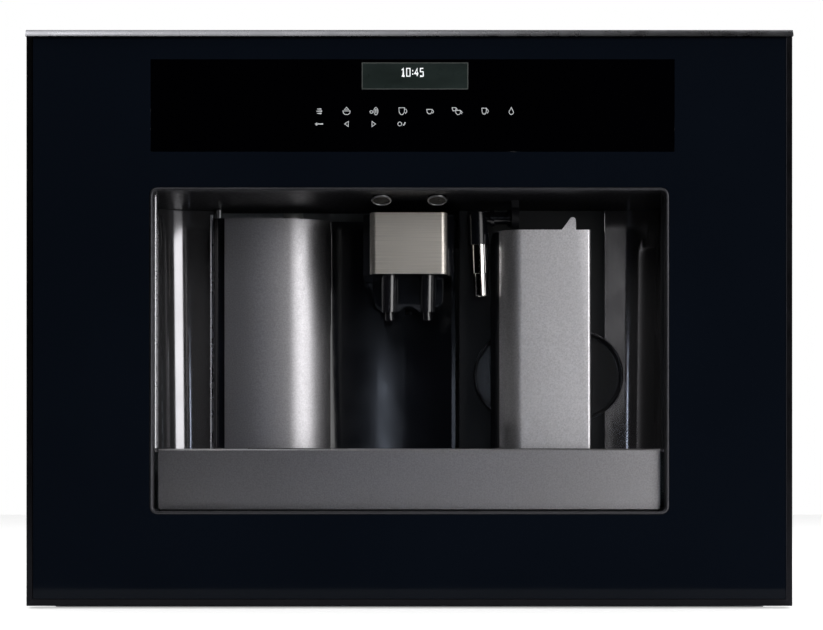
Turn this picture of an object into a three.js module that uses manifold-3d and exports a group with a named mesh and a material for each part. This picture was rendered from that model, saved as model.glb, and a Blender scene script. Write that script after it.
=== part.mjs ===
// Built-in coffee machine: black glass fascia, open cup bay, swing door with a height-adjustable spout,
// milk container, drip tray, and the casing that pulls out of the cabinet on telescopic rails.
// Millimetres, +Z up, the front looks along -Y. X is 0 at the middle and Z is 0 on the cabinet shelf.

import * as THREE from "three";
import { mergeVertices } from "three/addons/utils/BufferGeometryUtils.js";
import Module from "manifold-3d";

const wasm = await Module();
wasm.setup();

// ---------------------------------------------------------------- driving sizes

const FASCIA_WIDTH = 594;
const FASCIA_HEIGHT = 446;
const FASCIA_LIFT = 2; // lower edge of the fascia above the shelf
const FASCIA_DEPTH = 20;
const DEPTH = 400; // fascia front to the rear edge of the cradle
const GAP = 0.3; // between pieces that touch
const RUNNING_GAP = 0.5; // between pieces that slide or turn in each other
const SHEET = 1.5; // sheet steel of casing and cradle
const PLASTIC = 2; // moulded walls

const TRIM_WIDTH = 5.4;
const TRIM_SLOPE = 3; // how far the trim falls back from its inner to its outer edge
const TRIM_LEDGE = 11; // ledge behind the glass
const GLASS = 4;
const GLASS_RECESS = 0.4;

const CONTROL_WIDTH = 405;
const CONTROL_HEIGHT = 71;
const CONTROL_TOP_MARGIN = 23; // fascia top edge to control glass
const CONTROL_SHIFT = 2.5; // control glass centre to the right of the middle
const DISPLAY_WIDTH = 92;
const DISPLAY_HEIGHT = 30;
const DISPLAY_DEPTH = 7;
const DISPLAY_DROP = 13; // control glass top edge to display centre
const BOARD_WIDTH = 320;
const BOARD_HEIGHT = 62;
const BOARD = 1.6;

const BAY_WIDTH = 402; // outside of the bezel
const BAY_MARGIN_ABOVE = 28; // control glass to bay
const BAY_MARGIN_BELOW = 71.2; // fascia's lower edge to bay
const BAY_RADIUS = 6;
const BAY_DEPTH = 115;
const BEZEL = 2.2;
const BEZEL_DEPTH = 14;
const BEZEL_FLANGE = 10;
const BEZEL_LIP = 0.4; // chamfer of the bezel's front edge
const WALL_RECESS = 10.5; // the bay's side walls stand this much outside the bezel's inner face
const CORNER_RADIUS = 29; // rounded vertical corners at the back of the bay
const CORNER_FLAT = 17.5; // flat part of the wall between its corner and the door
const WALL_RETURN = 10;

const LAMP_SPACING = 44;
const LAMP_RADIUS = 7.3;
const LAMP_DEPTH = 30;
const LAMP_FRONT_HEIGHT = 0.8;
const LAMP_REAR_HEIGHT = 5.8;

const CASING_WIDTH = 525;
const CASING_BOTTOM = 8;
const CASING_DROP = 6.5; // top cover below the fascia's upper edge
const CASING_REAR_SETBACK = 8.5; // room behind the casing for inlet and switch

const CRADLE_WIDTH = 556;
const CRADLE_SETBACK = 3; // behind the fascia
const CRADLE_WALL = 70;
const CRADLE_LIP = 30;
const RAIL_CENTRE = 45; // height of the rails' middle line
const RAIL_HEIGHT = 44;
const RAIL_STEP = 2.4; // each rail is this much lower, above and below, than the one round it
const RAIL_SHEET = 1.6;
const RAIL_FRONT = 28; // depth of the rails' front ends
const RAIL_LENGTH = 345;

const TRAY_FACE_RISE = 50.8; // upper edge of the tray front above the bay's lower edge
const TRAY_FACE_DEPTH = 12;
const TRAY_FACE = 2.5;
const TRAY_FACE_CHAMFER = 1.2;
const TRAY_SIDE_GAP = 3;
const TRAY_LENGTH = 113;
const BASIN_HEIGHT = 40;
const GRILLE = 2.2;
const GRILLE_SLOTS = 26;
const GRILLE_SLOT_WIDTH = 6;
const GRILLE_BORDER = 9;
const FLOAT_RADIUS = 9;
const FLOAT_HEIGHT = 33;
const FLOAT_X = 168;
const FLOAT_DEPTH = 66;
const BIN_LEFT = -150;
const BIN_WIDTH = 130;
const BIN_LENGTH = 100;
const HEADROOM_DROP = 2.7; // top of the tray's housing below the tray front's upper edge

const DOOR_LEFT = -152.5;
const DOOR_RIGHT = 38.5;
const DOOR_GAP_ABOVE = 8.3;
const DOOR_GAP_BELOW = 1.5;
const DOOR_FACE_DEPTH = 100;
const SKIN = 2;
const SKIN_FLAT = 12.5; // flat part of the grey skin beside the hinge
const LEAD_RADIUS = 270; // gentle bend between the flat part and the roll
const LEAD_TURN = THREE.MathUtils.degToRad(8.5);
const SKIN_RADIUS = 59;
const SKIN_TURN = THREE.MathUtils.degToRad(46.5);
const SHELL = 3;
const SHELL_HOLLOW = 3; // how far the black shell is hollowed behind the cups
const SHELL_RETURN = 9;
const HINGE_X = -157.5;
const HINGE_DEPTH = 108;
const HINGE_PIN_RADIUS = 2.5;
const KNUCKLE_RADIUS = 5;

const SPOUT_X = -0.7;
const SPOUT_DROP = 2.1; // below the door's upper edge
const SPOUT_HEIGHT = 49;
const SPOUT_TRAVEL = 35;
const SPOUT_FACE_DEPTH = 50;
const SPOUT_PLATE_WIDTH = 62;
const SPOUT_PLATE = 1.5;
const SPOUT_PLATE_RADIUS = 5;
const SPOUT_WIDTH = 73;
const SPOUT_WAIST_DEPTH = 60;
const SHROUD_WIDTH = 56;
const SHROUD_DROP = 25;
const SHROUD_RADIUS = 7;
const NOZZLE_SPACING = 30.4;
const NOZZLE_RADIUS = 6.5;
const NOZZLE_DROP = 30;
const NOZZLE_DEPTH = 62;
const NOZZLE_TIP = 6.5;
const NOZZLE_TIP_RADIUS = 3.6;
const NOZZLE_BORE = 1.8;
const NOZZLE_WEB = 6.5;
const GUIDE_WIDTH = 5;
const GUIDE_LENGTH = 40;

const MILK_LEFT = 68;
const MILK_RIGHT = 145;
const MILK_GAP_BELOW = 0.6; // above the tray front's upper edge
const MILK_GAP_ABOVE = 24.8; // under the ceiling
const MILK_FACE_DEPTH = 45;
const MILK_REAR_DEPTH = 110;
const MILK_ROLL = 22; // rolled left front corner
const MILK_EDGE_RADIUS = 2.5;
const MILK_SHEET = 1.5;
const MILK_LID = 11;
const MILK_LID_RECESS = 1.5;
const TAB_LEFT = 121.5;
const TAB_RIGHT = 132.7;
const TAB_HEIGHT = 10;
const TAB_TIP = 3;
const DIAL_X = 108;
const DIAL_DEPTH = 78;
const DIAL_RADIUS = 10;
const DIAL_HEIGHT = 4;
const MILK_SHELF = 2.5;
const MILK_SHELF_OVERHANG = 2;
const MILK_BACK_LEFT = 41.5;

const GRIP_LEFT = 53.6;
const GRIP_RIGHT = 178;
const GRIP_RISE = 61.7; // centre above the container's foot
const GRIP_RADIUS = 37.5; // of the recess's half-round ends
const GRIP_FRONT_DEPTH = 111;
const GRIP_DEPTH = 17;

const ARM_DEPTH = 60;
const ARM_DROP = 13.8; // arm axis under the ceiling
const ARM_RADIUS = 5;
const ARM_COLLAR = 7;
const ARM_COLLAR_WIDTH = 3;
const PORT_LEFT = 82;
const PORT_WIDTH = 6;
const PORT_RADIUS = 9.5;
const SPIGOT_RADIUS = 3.5;
const SPIGOT_LENGTH = 4;
const ELBOW_X = 54.7;
const ELBOW_RADIUS = 8.3;
const ELBOW_DROP = 21.5; // arm axis to the elbow's lower end
const ELBOW_RISE = 4;
const MILK_SPOUT_TILT = THREE.MathUtils.degToRad(3);
const SLEEVE_RADIUS = 7;
const SLEEVE_LENGTH = 23;
const MILK_NOZZLE_RADIUS = 5.8;
const MILK_NOZZLE_WALL = 1.3;
const MILK_NOZZLE_SHOWING = 18;
const MILK_NOZZLE_HIDDEN = 34;

const TANK_WIDTH = 83.5;
const TANK_FRONT_DEPTH = 130;
const TANK_LENGTH = 175;
const TANK_GAP_BELOW = 6; // above the cradle's wall, which the tank passes over
const TANK_HEIGHT = 150;
const TANK_LID = 6;
const TANK_FACE_PROUD = 1; // tank wall outside the side panel
const TANK_SHELF = 2;

const BREW_X = -100;
const BREW_DEPTH = 182;
const BREW_RADIUS = 28;
const BREW_BORE = 22;
const BREW_HEIGHT = 60;
const BREW_CLEARANCE = 8.7; // lower arm above the tray's housing
const BREW_ARM_SPACING = 140;
const BREW_ARM = 10;
const BREW_WIDTH = 90;
const BREW_BACK_DEPTH = 238;
const BREW_BACK = 5;
const PISTON_HEIGHT = 8;
const PISTON_REST_LIFT = 12; // piston above the cylinder mouth at rest
const PISTON_ROD = 8;
const PISTON_TRAVEL = 50;

const FUNNEL_DEPTH = 162;
const FUNNEL_TOP_RADIUS = 26;
const FUNNEL_TUBE_RADIUS = 8;
const FUNNEL_CONE_HEIGHT = 50;
const FUNNEL_WALL = 1.6;
const FUNNEL_LID = 62;
const LID = 3;

const HOPPER_X = 35;
const HOPPER_DEPTH = 220;
const HOPPER_WIDTH = 150;
const HOPPER_LENGTH = 140;
const HOPPER_STRAIGHT = 35;
const HOPPER_NECK = 44;
const HOPPER_HEIGHT = 86.7;
const HOPPER_RIM = 4; // lid overlap round the hopper opening
const GRINDER_RADIUS = 42;
const GRINDER_HEIGHT = 52;
const GRINDER_BORE = 30;
const GRINDER_FLOOR = 15;
const GRINDER_CHUTE = 14;
const BURR_HEIGHT = 12;
const BURR_TEETH = 12;
const BURR_TOOTH = 4;
const BURR_SHAFT = 5;
const BURR_SHAFT_LENGTH = 30;
const MOTOR_RADIUS = 34;
const MOTOR_HEIGHT = 95;
const KNOB_X = 160;
const KNOB_DEPTH = 300;
const KNOB_RADIUS = 14;
const KNOB_HEIGHT = 5;
const KNOB_SHAFT = 4;
const KNOB_SHAFT_LENGTH = 12;
const KNOB_RIBS = 16;

const THERMOBLOCK_X = 20;
const THERMOBLOCK_WIDTH = 120;
const THERMOBLOCK_LENGTH = 42;
const THERMOBLOCK_BOTTOM = 190;
const THERMOBLOCK_HEIGHT = 90;
const THERMOBLOCK_FINS = 6;
const FIN_HEIGHT = 5;
const PUMP_X = 60;
const PUMP_DEPTH = 300;
const PUMP_RADIUS = 20;
const PUMP_LENGTH = 70;
const PUMP_FOOT = 6;

const INLET_X = -200;
const INLET_Z = 60;
const INLET_WIDTH = 48;
const INLET_HEIGHT = 30;
const INLET_FLANGE = 4;
const INLET_PROUD = 3;
const INLET_BODY = 24;
const INLET_SOCKET = 17;
const INLET_PIN_LENGTH = 12;
const INLET_PIN_WIDTH = 2;
const INLET_PIN_HEIGHT = 6;
const INLET_PIN_SPACING = 9;
const INLET_PIN_STEP = 3; // middle pin above, outer pins below the centre line
const SWITCH_X = -200;
const SWITCH_Z = 110;
const SWITCH_WIDTH = 14;
const SWITCH_HEIGHT = 22;
const SWITCH_THICKNESS = 8;

const VENT_SLOTS = 9;
const VENT_LENGTH = 60;
const VENT_WIDTH = 5;
const VENT_PITCH = 14;
const VENT_EDGE = 40; // from the casing's edges to the slots
const LOW_VENT_RISE = 100;
const SIDES = 32; // facets of the round pieces

// ---------------------------------------------------------------- places worked out from them

const FRONT = -DEPTH / 2;
const REAR = DEPTH / 2;
const at = (depth) => FRONT + depth; // Y of a depth behind the fascia front

const HALF_FASCIA = FASCIA_WIDTH / 2;
const FASCIA_TOP = FASCIA_LIFT + FASCIA_HEIGHT;
const GLASS_REAR = GLASS_RECESS + GLASS;
const BEHIND_GLASS = GLASS_REAR + GAP;

const CONTROL_TOP = FASCIA_TOP - CONTROL_TOP_MARGIN;
const CONTROL_BOTTOM = CONTROL_TOP - CONTROL_HEIGHT;
const CONTROL_LEFT = CONTROL_SHIFT - CONTROL_WIDTH / 2;
const CONTROL_RIGHT = CONTROL_SHIFT + CONTROL_WIDTH / 2;

const BAY_TOP = CONTROL_BOTTOM - BAY_MARGIN_ABOVE;
const BAY_BOTTOM = FASCIA_LIFT + BAY_MARGIN_BELOW;
const HALF_BAY = BAY_WIDTH / 2;
const BAY_INSIDE = HALF_BAY - BEZEL; // half width inside the bezel
const BAY_FLOOR = BAY_BOTTOM + BEZEL;
const BAY_CEILING = BAY_TOP - BEZEL;
const LINER_FRONT = BEZEL_DEPTH + GAP;
const WALL_INSIDE = BAY_INSIDE + WALL_RECESS;
const CORNER_X = WALL_INSIDE - CORNER_RADIUS; // where the rounded corner meets the back of the bay
const WALL_END = CORNER_X - CORNER_FLAT;

const HALF_CASING = CASING_WIDTH / 2;
const TRIM_FLANGE = HALF_FASCIA - HALF_CASING - GAP; // rear flange, from the outer edge to beside the casing
const CASING_FRONT = at(FASCIA_DEPTH + GAP);
const CASING_REAR = REAR - CASING_REAR_SETBACK;
const CASING_FLOOR = CASING_BOTTOM + SHEET;
const CASING_TOP = FASCIA_TOP - CASING_DROP;
const CASING_LID = CASING_TOP - SHEET; // underside of the top cover

const TRAY_TOP = BAY_BOTTOM + TRAY_FACE_RISE;
const TRAY_HEADROOM = TRAY_TOP - HEADROOM_DROP;
const TRAY_BOTTOM = BAY_FLOOR + GAP;
const TRAY_REAR = TRAY_FACE_DEPTH + TRAY_FACE + GAP;
const HALF_TRAY = BAY_INSIDE - TRAY_SIDE_GAP;
const HOUSING_WALL = HALF_TRAY - PLASTIC; // inner face of the tray housing's side walls
const HALF_BASIN = HOUSING_WALL - RUNNING_GAP;
const BASIN_TOP = TRAY_BOTTOM + BASIN_HEIGHT;
const BASIN_FLOOR = TRAY_BOTTOM + PLASTIC;
const BIN_FRONT = TRAY_REAR + TRAY_LENGTH + GAP;
const BIN_TOP = TRAY_HEADROOM - RUNNING_GAP;

const WALL_BOTTOM = TRAY_HEADROOM + GAP;
const WALL_TOP = BAY_CEILING - GAP;

const DOOR_TOP = BAY_CEILING - DOOR_GAP_ABOVE;
const DOOR_BOTTOM = TRAY_TOP + DOOR_GAP_BELOW;
const SHELL_DEPTH = DOOR_FACE_DEPTH + SKIN + GAP;
const BACK_REAR = BAY_DEPTH + PLASTIC;

const SPOUT_TOP = DOOR_TOP - SPOUT_DROP;
const SPOUT_BOTTOM = SPOUT_TOP - SPOUT_HEIGHT;
const HALF_SPOUT = SPOUT_WIDTH / 2;
const HALF_SPOUT_PLATE = SPOUT_PLATE_WIDTH / 2;

const NOZZLE_BOTTOM = SPOUT_BOTTOM - NOZZLE_DROP;
const MILK_BOTTOM = TRAY_TOP + MILK_GAP_BELOW;
const MILK_TOP = BAY_CEILING - MILK_GAP_ABOVE;
const GRIP_Z = MILK_BOTTOM + GRIP_RISE;
const GRIP_REAR_DEPTH = GRIP_FRONT_DEPTH + GRIP_DEPTH;
const ARM_HEIGHT = BAY_CEILING - ARM_DROP;
const TANK_RIGHT = HALF_CASING + TANK_FACE_PROUD;
const TANK_LEFT = TANK_RIGHT - TANK_WIDTH;
const TANK_BOTTOM = CRADLE_WALL + TANK_GAP_BELOW;
const TANK_TOP = TANK_BOTTOM + TANK_HEIGHT;
const BREW_LOW_ARM = TRAY_HEADROOM + BREW_CLEARANCE;
const BREW_HIGH_ARM = BREW_LOW_ARM + BREW_ARM_SPACING;
const BREW_CYLINDER_TOP = BREW_LOW_ARM + BREW_ARM + BREW_HEIGHT;
const PISTON_ROD_TOP = BREW_HIGH_ARM + BREW_ARM + PISTON_TRAVEL + PLASTIC;
const HOPPER_TOP = CASING_LID - GAP;
const HOPPER_NECK_HEIGHT = HOPPER_TOP - HOPPER_HEIGHT;
const GRINDER_TOP = HOPPER_NECK_HEIGHT - GAP;
const GRINDER_BOTTOM = GRINDER_TOP - GRINDER_HEIGHT;
const GRINDER_BED = GRINDER_BOTTOM + GRINDER_FLOOR;
const MOTOR_TOP = GRINDER_BOTTOM - GAP;
const LID_BOTTOM = CASING_TOP + GAP;

// ---------------------------------------------------------------- finishes

const finish = (color, roughness, metalness) => new THREE.MeshStandardMaterial({ color, roughness, metalness });
const FINISHES = {
  blackGlass: finish(0x090d14, 0.04, 0.0),
  controlGlass: finish(0x010102, 0.03, 0.0),
  blackGloss: finish(0x0a0b10, 0.12, 0.0),
  blackMatte: finish(0x16171b, 0.55, 0.0),
  trim: finish(0x5a5a5e, 0.28, 1.0),
  satinGrey: finish(0xa9a7aa, 0.38, 0.9),
  brushed: finish(0x9c9893, 0.3, 1.0),
  chrome: finish(0xdcdad6, 0.08, 1.0),
  steel: finish(0xa7a9ac, 0.4, 0.9),
  galvanised: finish(0x8f9396, 0.5, 0.8),
  clear: finish(0xb9c3c9, 0.1, 0.0),
  board: finish(0x1d4a2c, 0.6, 0.0),
  lampRing: finish(0x3c3e42, 0.25, 0.8),
  whitePlastic: finish(0xd7d7d4, 0.5, 0.0),
};

// ---------------------------------------------------------------- solids

function solidOf(geometry) {
  const bare = geometry.index ? geometry.clone() : geometry;
  bare.deleteAttribute("normal");
  bare.deleteAttribute("uv");
  const merged = mergeVertices(bare, 1e-4);
  return new wasm.Manifold(
    new wasm.Mesh({
      numProp: 3,
      vertProperties: new Float32Array(merged.attributes.position.array),
      triVerts: new Uint32Array(merged.index.array),
    }),
  );
}

function geometryOf(solid) {
  const mesh = solid.getMesh();
  const geometry = new THREE.BufferGeometry();
  geometry.setAttribute("position", new THREE.BufferAttribute(mesh.vertProperties, 3));
  geometry.setIndex(new THREE.BufferAttribute(mesh.triVerts, 1));
  geometry.computeVertexNormals();
  return geometry;
}

const join = (...solids) => solids.reduce((whole, next) => whole.add(next));
const cut = (solid, ...tools) => tools.reduce((rest, tool) => rest.subtract(tool), solid);

function block([x0, x1], [y0, y1], [z0, z1]) {
  const geometry = new THREE.BoxGeometry(x1 - x0, y1 - y0, z1 - z0);
  geometry.translate((x0 + x1) / 2, (y0 + y1) / 2, (z0 + z1) / 2);
  return solidOf(geometry);
}

// An outline pushed along an axis. It is drawn in (X, Y) for "z", in (X, Z) for "y" and in (Y, Z) for "x".
function pushed(outline, axis, from, to, curveSegments = 12) {
  const geometry = new THREE.ExtrudeGeometry(outline, { depth: to - from, bevelEnabled: false, curveSegments });
  const turn = {
    x: new THREE.Matrix4().set(0, 0, 1, from, 1, 0, 0, 0, 0, 1, 0, 0, 0, 0, 0, 1),
    y: new THREE.Matrix4().set(1, 0, 0, 0, 0, 0, -1, to, 0, 1, 0, 0, 0, 0, 0, 1),
    z: new THREE.Matrix4().makeTranslation(0, 0, from),
  }[axis];
  return solidOf(geometry.applyMatrix4(turn));
}

// A round bar along an axis; centre holds its other two coordinates in X, Y, Z order.
function rod(axis, [u, v], radius, from, to, sides = SIDES) {
  const geometry = new THREE.CylinderGeometry(radius, radius, to - from, sides);
  const middle = (from + to) / 2;
  if (axis === "x") geometry.rotateZ(-Math.PI / 2).translate(middle, u, v);
  if (axis === "y") geometry.translate(u, middle, v);
  if (axis === "z") geometry.rotateX(Math.PI / 2).translate(u, v, middle);
  return solidOf(geometry);
}

// A turned piece about a vertical axis; profile points are [radius, z].
function turned([x, y], profile, sides = SIDES) {
  const points = profile.map(([radius, z]) => new THREE.Vector2(radius, z));
  const geometry = new THREE.LatheGeometry(points, sides).rotateX(Math.PI / 2).translate(x, y, 0);
  return solidOf(geometry);
}

function outlineOf(points) {
  return new THREE.Shape(points.map(([u, v]) => new THREE.Vector2(u, v)));
}

function roundedOutline([u0, u1], [v0, v1], radius) {
  const shape = new THREE.Shape();
  shape.moveTo(u0 + radius, v0);
  shape.lineTo(u1 - radius, v0);
  shape.absarc(u1 - radius, v0 + radius, radius, -Math.PI / 2, 0);
  shape.lineTo(u1, v1 - radius);
  shape.absarc(u1 - radius, v1 - radius, radius, 0, Math.PI / 2);
  shape.lineTo(u0 + radius, v1);
  shape.absarc(u0 + radius, v1 - radius, radius, Math.PI / 2, Math.PI);
  shape.lineTo(u0, v0 + radius);
  shape.absarc(u0 + radius, v0 + radius, radius, Math.PI, 1.5 * Math.PI);
  return shape;
}

function arcPoints([u, v], radius, start, end, steps = 8) {
  return Array.from({ length: steps + 1 }, (_, i) => {
    const angle = start + ((end - start) * i) / steps;
    return [u + radius * Math.cos(angle), v + radius * Math.sin(angle)];
  });
}

// A strip of even thickness that follows a path, lying on the left of the way along it.
function strip(path, thickness) {
  const points = path.map(([u, v]) => new THREE.Vector2(u, v));
  const directions = points.slice(1).map((point, i) => point.clone().sub(points[i]).normalize());
  const offset = points.map((point, i) => {
    const before = directions[Math.max(i - 1, 0)];
    const after = directions[Math.min(i, directions.length - 1)];
    const along = before.clone().add(after).normalize();
    const reach = thickness / Math.max(along.dot(before), 0.3);
    return new THREE.Vector2(point.x - along.y * reach, point.y + along.x * reach);
  });
  return new THREE.Shape([...points, ...offset.reverse()]);
}

// A frame swept round a rectangle that faces the front. Profile points are [inset, depth].
function sweptFrame(halfWidth, [z0, z1], radius, profile, steps) {
  const corners = [
    [1, 1, 0],
    [-1, 1, Math.PI / 2],
    [-1, -1, Math.PI],
    [1, -1, 1.5 * Math.PI],
  ];
  const rings = profile.map(([inset, depth]) =>
    corners.flatMap(([sideX, sideZ, start]) => {
      const cornerX = sideX * (halfWidth - radius);
      const cornerZ = (z0 + z1) / 2 + sideZ * ((z1 - z0) / 2 - radius);
      if (steps === 0) return [[cornerX - sideX * inset, cornerZ - sideZ * inset, depth]];
      return arcPoints([cornerX, cornerZ], radius - inset, start, start + Math.PI / 2, steps).map(([x, z]) => [
        x,
        z,
        depth,
      ]);
    }),
  );
  const count = rings[0].length;
  const positions = rings.flat().flatMap(([x, z, depth]) => [x, at(depth), z]);
  const index = [];
  for (let ring = 0; ring < rings.length; ring += 1) {
    for (let i = 0; i < count; i += 1) {
      const next = (i + 1) % count;
      const a = ring * count + i;
      const b = ring * count + next;
      const c = ((ring + 1) % rings.length) * count + i;
      const d = ((ring + 1) % rings.length) * count + next;
      index.push(a, b, c, b, d, c);
    }
  }
  const geometry = new THREE.BufferGeometry();
  geometry.setAttribute("position", new THREE.Float32BufferAttribute(positions, 3));
  geometry.setIndex(index);
  return solidOf(geometry);
}

// A four-sided funnel body between two level rectangles.
function tapered([lowX, lowY, lowWidth, lowLength, lowZ], [highX, highY, highWidth, highLength, highZ]) {
  const level = (x, y, width, length, z) =>
    [
      [-1, -1],
      [1, -1],
      [1, 1],
      [-1, 1],
    ].flatMap(([sideX, sideY]) => [x + (sideX * width) / 2, y + (sideY * length) / 2, z]);
  const geometry = new THREE.BufferGeometry();
  const positions = [
    ...level(lowX, lowY, lowWidth, lowLength, lowZ),
    ...level(highX, highY, highWidth, highLength, highZ),
  ];
  geometry.setAttribute("position", new THREE.Float32BufferAttribute(positions, 3));
  const sides = [0, 1, 2, 3].flatMap((i) => {
    const next = (i + 1) % 4;
    return [i, next, next + 4, i, next + 4, i + 4];
  });
  geometry.setIndex([0, 2, 1, 0, 3, 2, 4, 5, 6, 4, 6, 7, ...sides]);
  return solidOf(geometry);
}

// A row of upright slots that cuts through a wall; place(i) gives the slot's box.
const slotRow = (count, place) => Array.from({ length: count }, (_, i) => block(...place(i)));

const part = new THREE.Group();
part.name = "built_in_coffee_machine";

function add(name, material, solid, group = part) {
  const mesh = new THREE.Mesh(geometryOf(solid), material);
  mesh.name = name;
  group.add(mesh);
}

// ---------------------------------------------------------------- cradle and rails

function cradlePlate() {
  const half = CRADLE_WIDTH / 2;
  const y = [at(FASCIA_DEPTH + CRADLE_SETBACK), REAR];
  const base = block([-half, half], y, [0, SHEET]);
  const walls = [-1, 1].map((side) => {
    const x = [side * half, side * (half - SHEET)].sort((a, b) => a - b);
    return block(x, y, [0, CRADLE_WALL]);
  });
  const lip = block([-half, half], [REAR - SHEET, REAR], [0, CRADLE_LIP]);
  return join(base, ...walls, lip);
}

// Channel section of one rail, from the cradle inwards: 0 fixed, 1 middle, 2 inner.
function rail(side, stage) {
  const room = CRADLE_WIDTH / 2 - SHEET - HALF_CASING; // between cradle wall and casing
  const halfHeight = RAIL_HEIGHT / 2 - stage * RAIL_STEP;
  const z = [RAIL_CENTRE - halfHeight, RAIL_CENTRE + halfHeight];
  const y = [at(RAIL_FRONT), at(RAIL_FRONT + RAIL_LENGTH)];
  const webs = [room - GAP - RAIL_SHEET, room / 2 + RAIL_SHEET, GAP];
  const reaches = [GAP + RAIL_SHEET * 2, GAP + RAIL_SHEET * 2, room / 2 + RAIL_SHEET - GAP];
  const web = HALF_CASING + webs[stage];
  const reach = HALF_CASING + reaches[stage];
  const span = (from, to) => [side * from, side * to].sort((a, b) => a - b);
  const low = Math.min(web, reach);
  const high = Math.max(web + RAIL_SHEET, reach);
  const flange = (edge) => block(span(low, high), y, edge);
  return join(
    block(span(web, web + RAIL_SHEET), y, z),
    flange([z[0], z[0] + RAIL_SHEET]),
    flange([z[1] - RAIL_SHEET, z[1]]),
  );
}

add("cradle_plate", FINISHES.galvanised, cradlePlate());
for (const [side, word] of [
  [-1, "left"],
  [1, "right"],
]) {
  add(`fixed_rail_${word}`, FINISHES.galvanised, rail(side, 0));
  add(`middle_rail_${word}`, FINISHES.steel, rail(side, 1));
  add(`inner_rail_${word}`, FINISHES.galvanised, rail(side, 2));
}

// ---------------------------------------------------------------- casing

const CASING_SPAN = [-HALF_CASING, HALF_CASING];
const PANEL_Y = [CASING_FRONT, CASING_REAR];
const PANEL_Z = [CASING_FLOOR + GAP, CASING_LID - GAP];

const TANK_X = [TANK_LEFT, TANK_RIGHT];
const TANK_Y = [at(TANK_FRONT_DEPTH), at(TANK_FRONT_DEPTH + TANK_LENGTH)];

// Base plate with the shelf that the water tank stands on.
function chassisBase() {
  const plate = block(CASING_SPAN, PANEL_Y, [CASING_BOTTOM, CASING_FLOOR]);
  const x = [TANK_LEFT, HALF_CASING - SHEET - GAP];
  const shelf = block(x, TANK_Y, [CASING_BOTTOM, TANK_BOTTOM - GAP]);
  const under = block(
    [x[0] + TANK_SHELF, x[1] - TANK_SHELF],
    [TANK_Y[0] - 1, TANK_Y[1] + 1],
    [CASING_FLOOR, TANK_BOTTOM - GAP - TANK_SHELF],
  );
  return join(plate, cut(shelf, under));
}

const VENT_RUN = (VENT_SLOTS - 1) * VENT_PITCH + VENT_WIDTH;
const HIGH_VENTS = CASING_LID - VENT_EDGE - VENT_LENGTH;
const LOW_VENTS = CASING_FLOOR + LOW_VENT_RISE;

// A row of slots from a start, across x or y; the other way and the height are fixed ranges.
const ventsAlongY = (x, z) =>
  slotRow(VENT_SLOTS, (i) => {
    const start = CASING_REAR - VENT_EDGE - VENT_RUN + i * VENT_PITCH;
    return [x, [start, start + VENT_WIDTH], [z, z + VENT_LENGTH]];
  });
const ventsAlongX = (first, y, z) =>
  slotRow(VENT_SLOTS, (i) => {
    const start = first + i * VENT_PITCH;
    return [[start, start + VENT_WIDTH], y, z];
  });

function sidePanelLeft() {
  const x = [-HALF_CASING, -HALF_CASING + SHEET];
  const through = [x[0] - 1, x[1] + 1];
  return cut(block(x, PANEL_Y, PANEL_Z), ...ventsAlongY(through, HIGH_VENTS), ...ventsAlongY(through, LOW_VENTS));
}

function sidePanelRight() {
  const x = [HALF_CASING - SHEET, HALF_CASING];
  const through = [x[0] - 1, x[1] + 1];
  const tankOpening = block(
    through,
    [at(TANK_FRONT_DEPTH) - RUNNING_GAP, at(TANK_FRONT_DEPTH + TANK_LENGTH) + RUNNING_GAP],
    [TANK_BOTTOM - GAP, TANK_TOP + TANK_LID + GAP + RUNNING_GAP],
  );
  return cut(block(x, PANEL_Y, PANEL_Z), tankOpening, ...ventsAlongY(through, HIGH_VENTS));
}

function rearPanel() {
  const inside = HALF_CASING - SHEET - GAP;
  const y = [CASING_REAR - SHEET, CASING_REAR];
  const through = [y[0] - 1, y[1] + 1];
  const centred = (middle, size, gap) => [middle - size / 2 - gap, middle + size / 2 + gap];
  return cut(
    block([-inside, inside], y, PANEL_Z),
    block(centred(INLET_X, INLET_WIDTH, GAP), through, centred(INLET_Z, INLET_HEIGHT, GAP)),
    block(centred(SWITCH_X, SWITCH_WIDTH, RUNNING_GAP), through, centred(SWITCH_Z, SWITCH_HEIGHT, RUNNING_GAP)),
    ...ventsAlongX(inside - VENT_EDGE - VENT_RUN, through, [HIGH_VENTS, HIGH_VENTS + VENT_LENGTH]),
  );
}

function topCover() {
  const z = [CASING_LID, CASING_TOP];
  const through = [z[0] - 1, z[1] + 1];
  const ventEnd = CASING_REAR - VENT_EDGE;
  return cut(
    block(CASING_SPAN, PANEL_Y, z),
    block(
      [HOPPER_X - HOPPER_WIDTH / 2 + PLASTIC, HOPPER_X + HOPPER_WIDTH / 2 - PLASTIC],
      [at(HOPPER_DEPTH) - HOPPER_LENGTH / 2 + PLASTIC, at(HOPPER_DEPTH) + HOPPER_LENGTH / 2 - PLASTIC],
      through,
    ),
    rod("z", [BREW_X, at(FUNNEL_DEPTH)], FUNNEL_TOP_RADIUS - FUNNEL_WALL, ...through),
    rod("z", [KNOB_X, at(KNOB_DEPTH)], KNOB_SHAFT + RUNNING_GAP, ...through),
    ...ventsAlongX(-HALF_CASING + VENT_EDGE, [ventEnd - VENT_LENGTH, ventEnd], through),
  );
}

add("chassis_base", FINISHES.galvanised, chassisBase());
add("side_panel_left", FINISHES.galvanised, sidePanelLeft());
add("side_panel_right", FINISHES.galvanised, sidePanelRight());
add("rear_panel", FINISHES.galvanised, rearPanel());
add("top_cover", FINISHES.galvanised, topCover());

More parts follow.
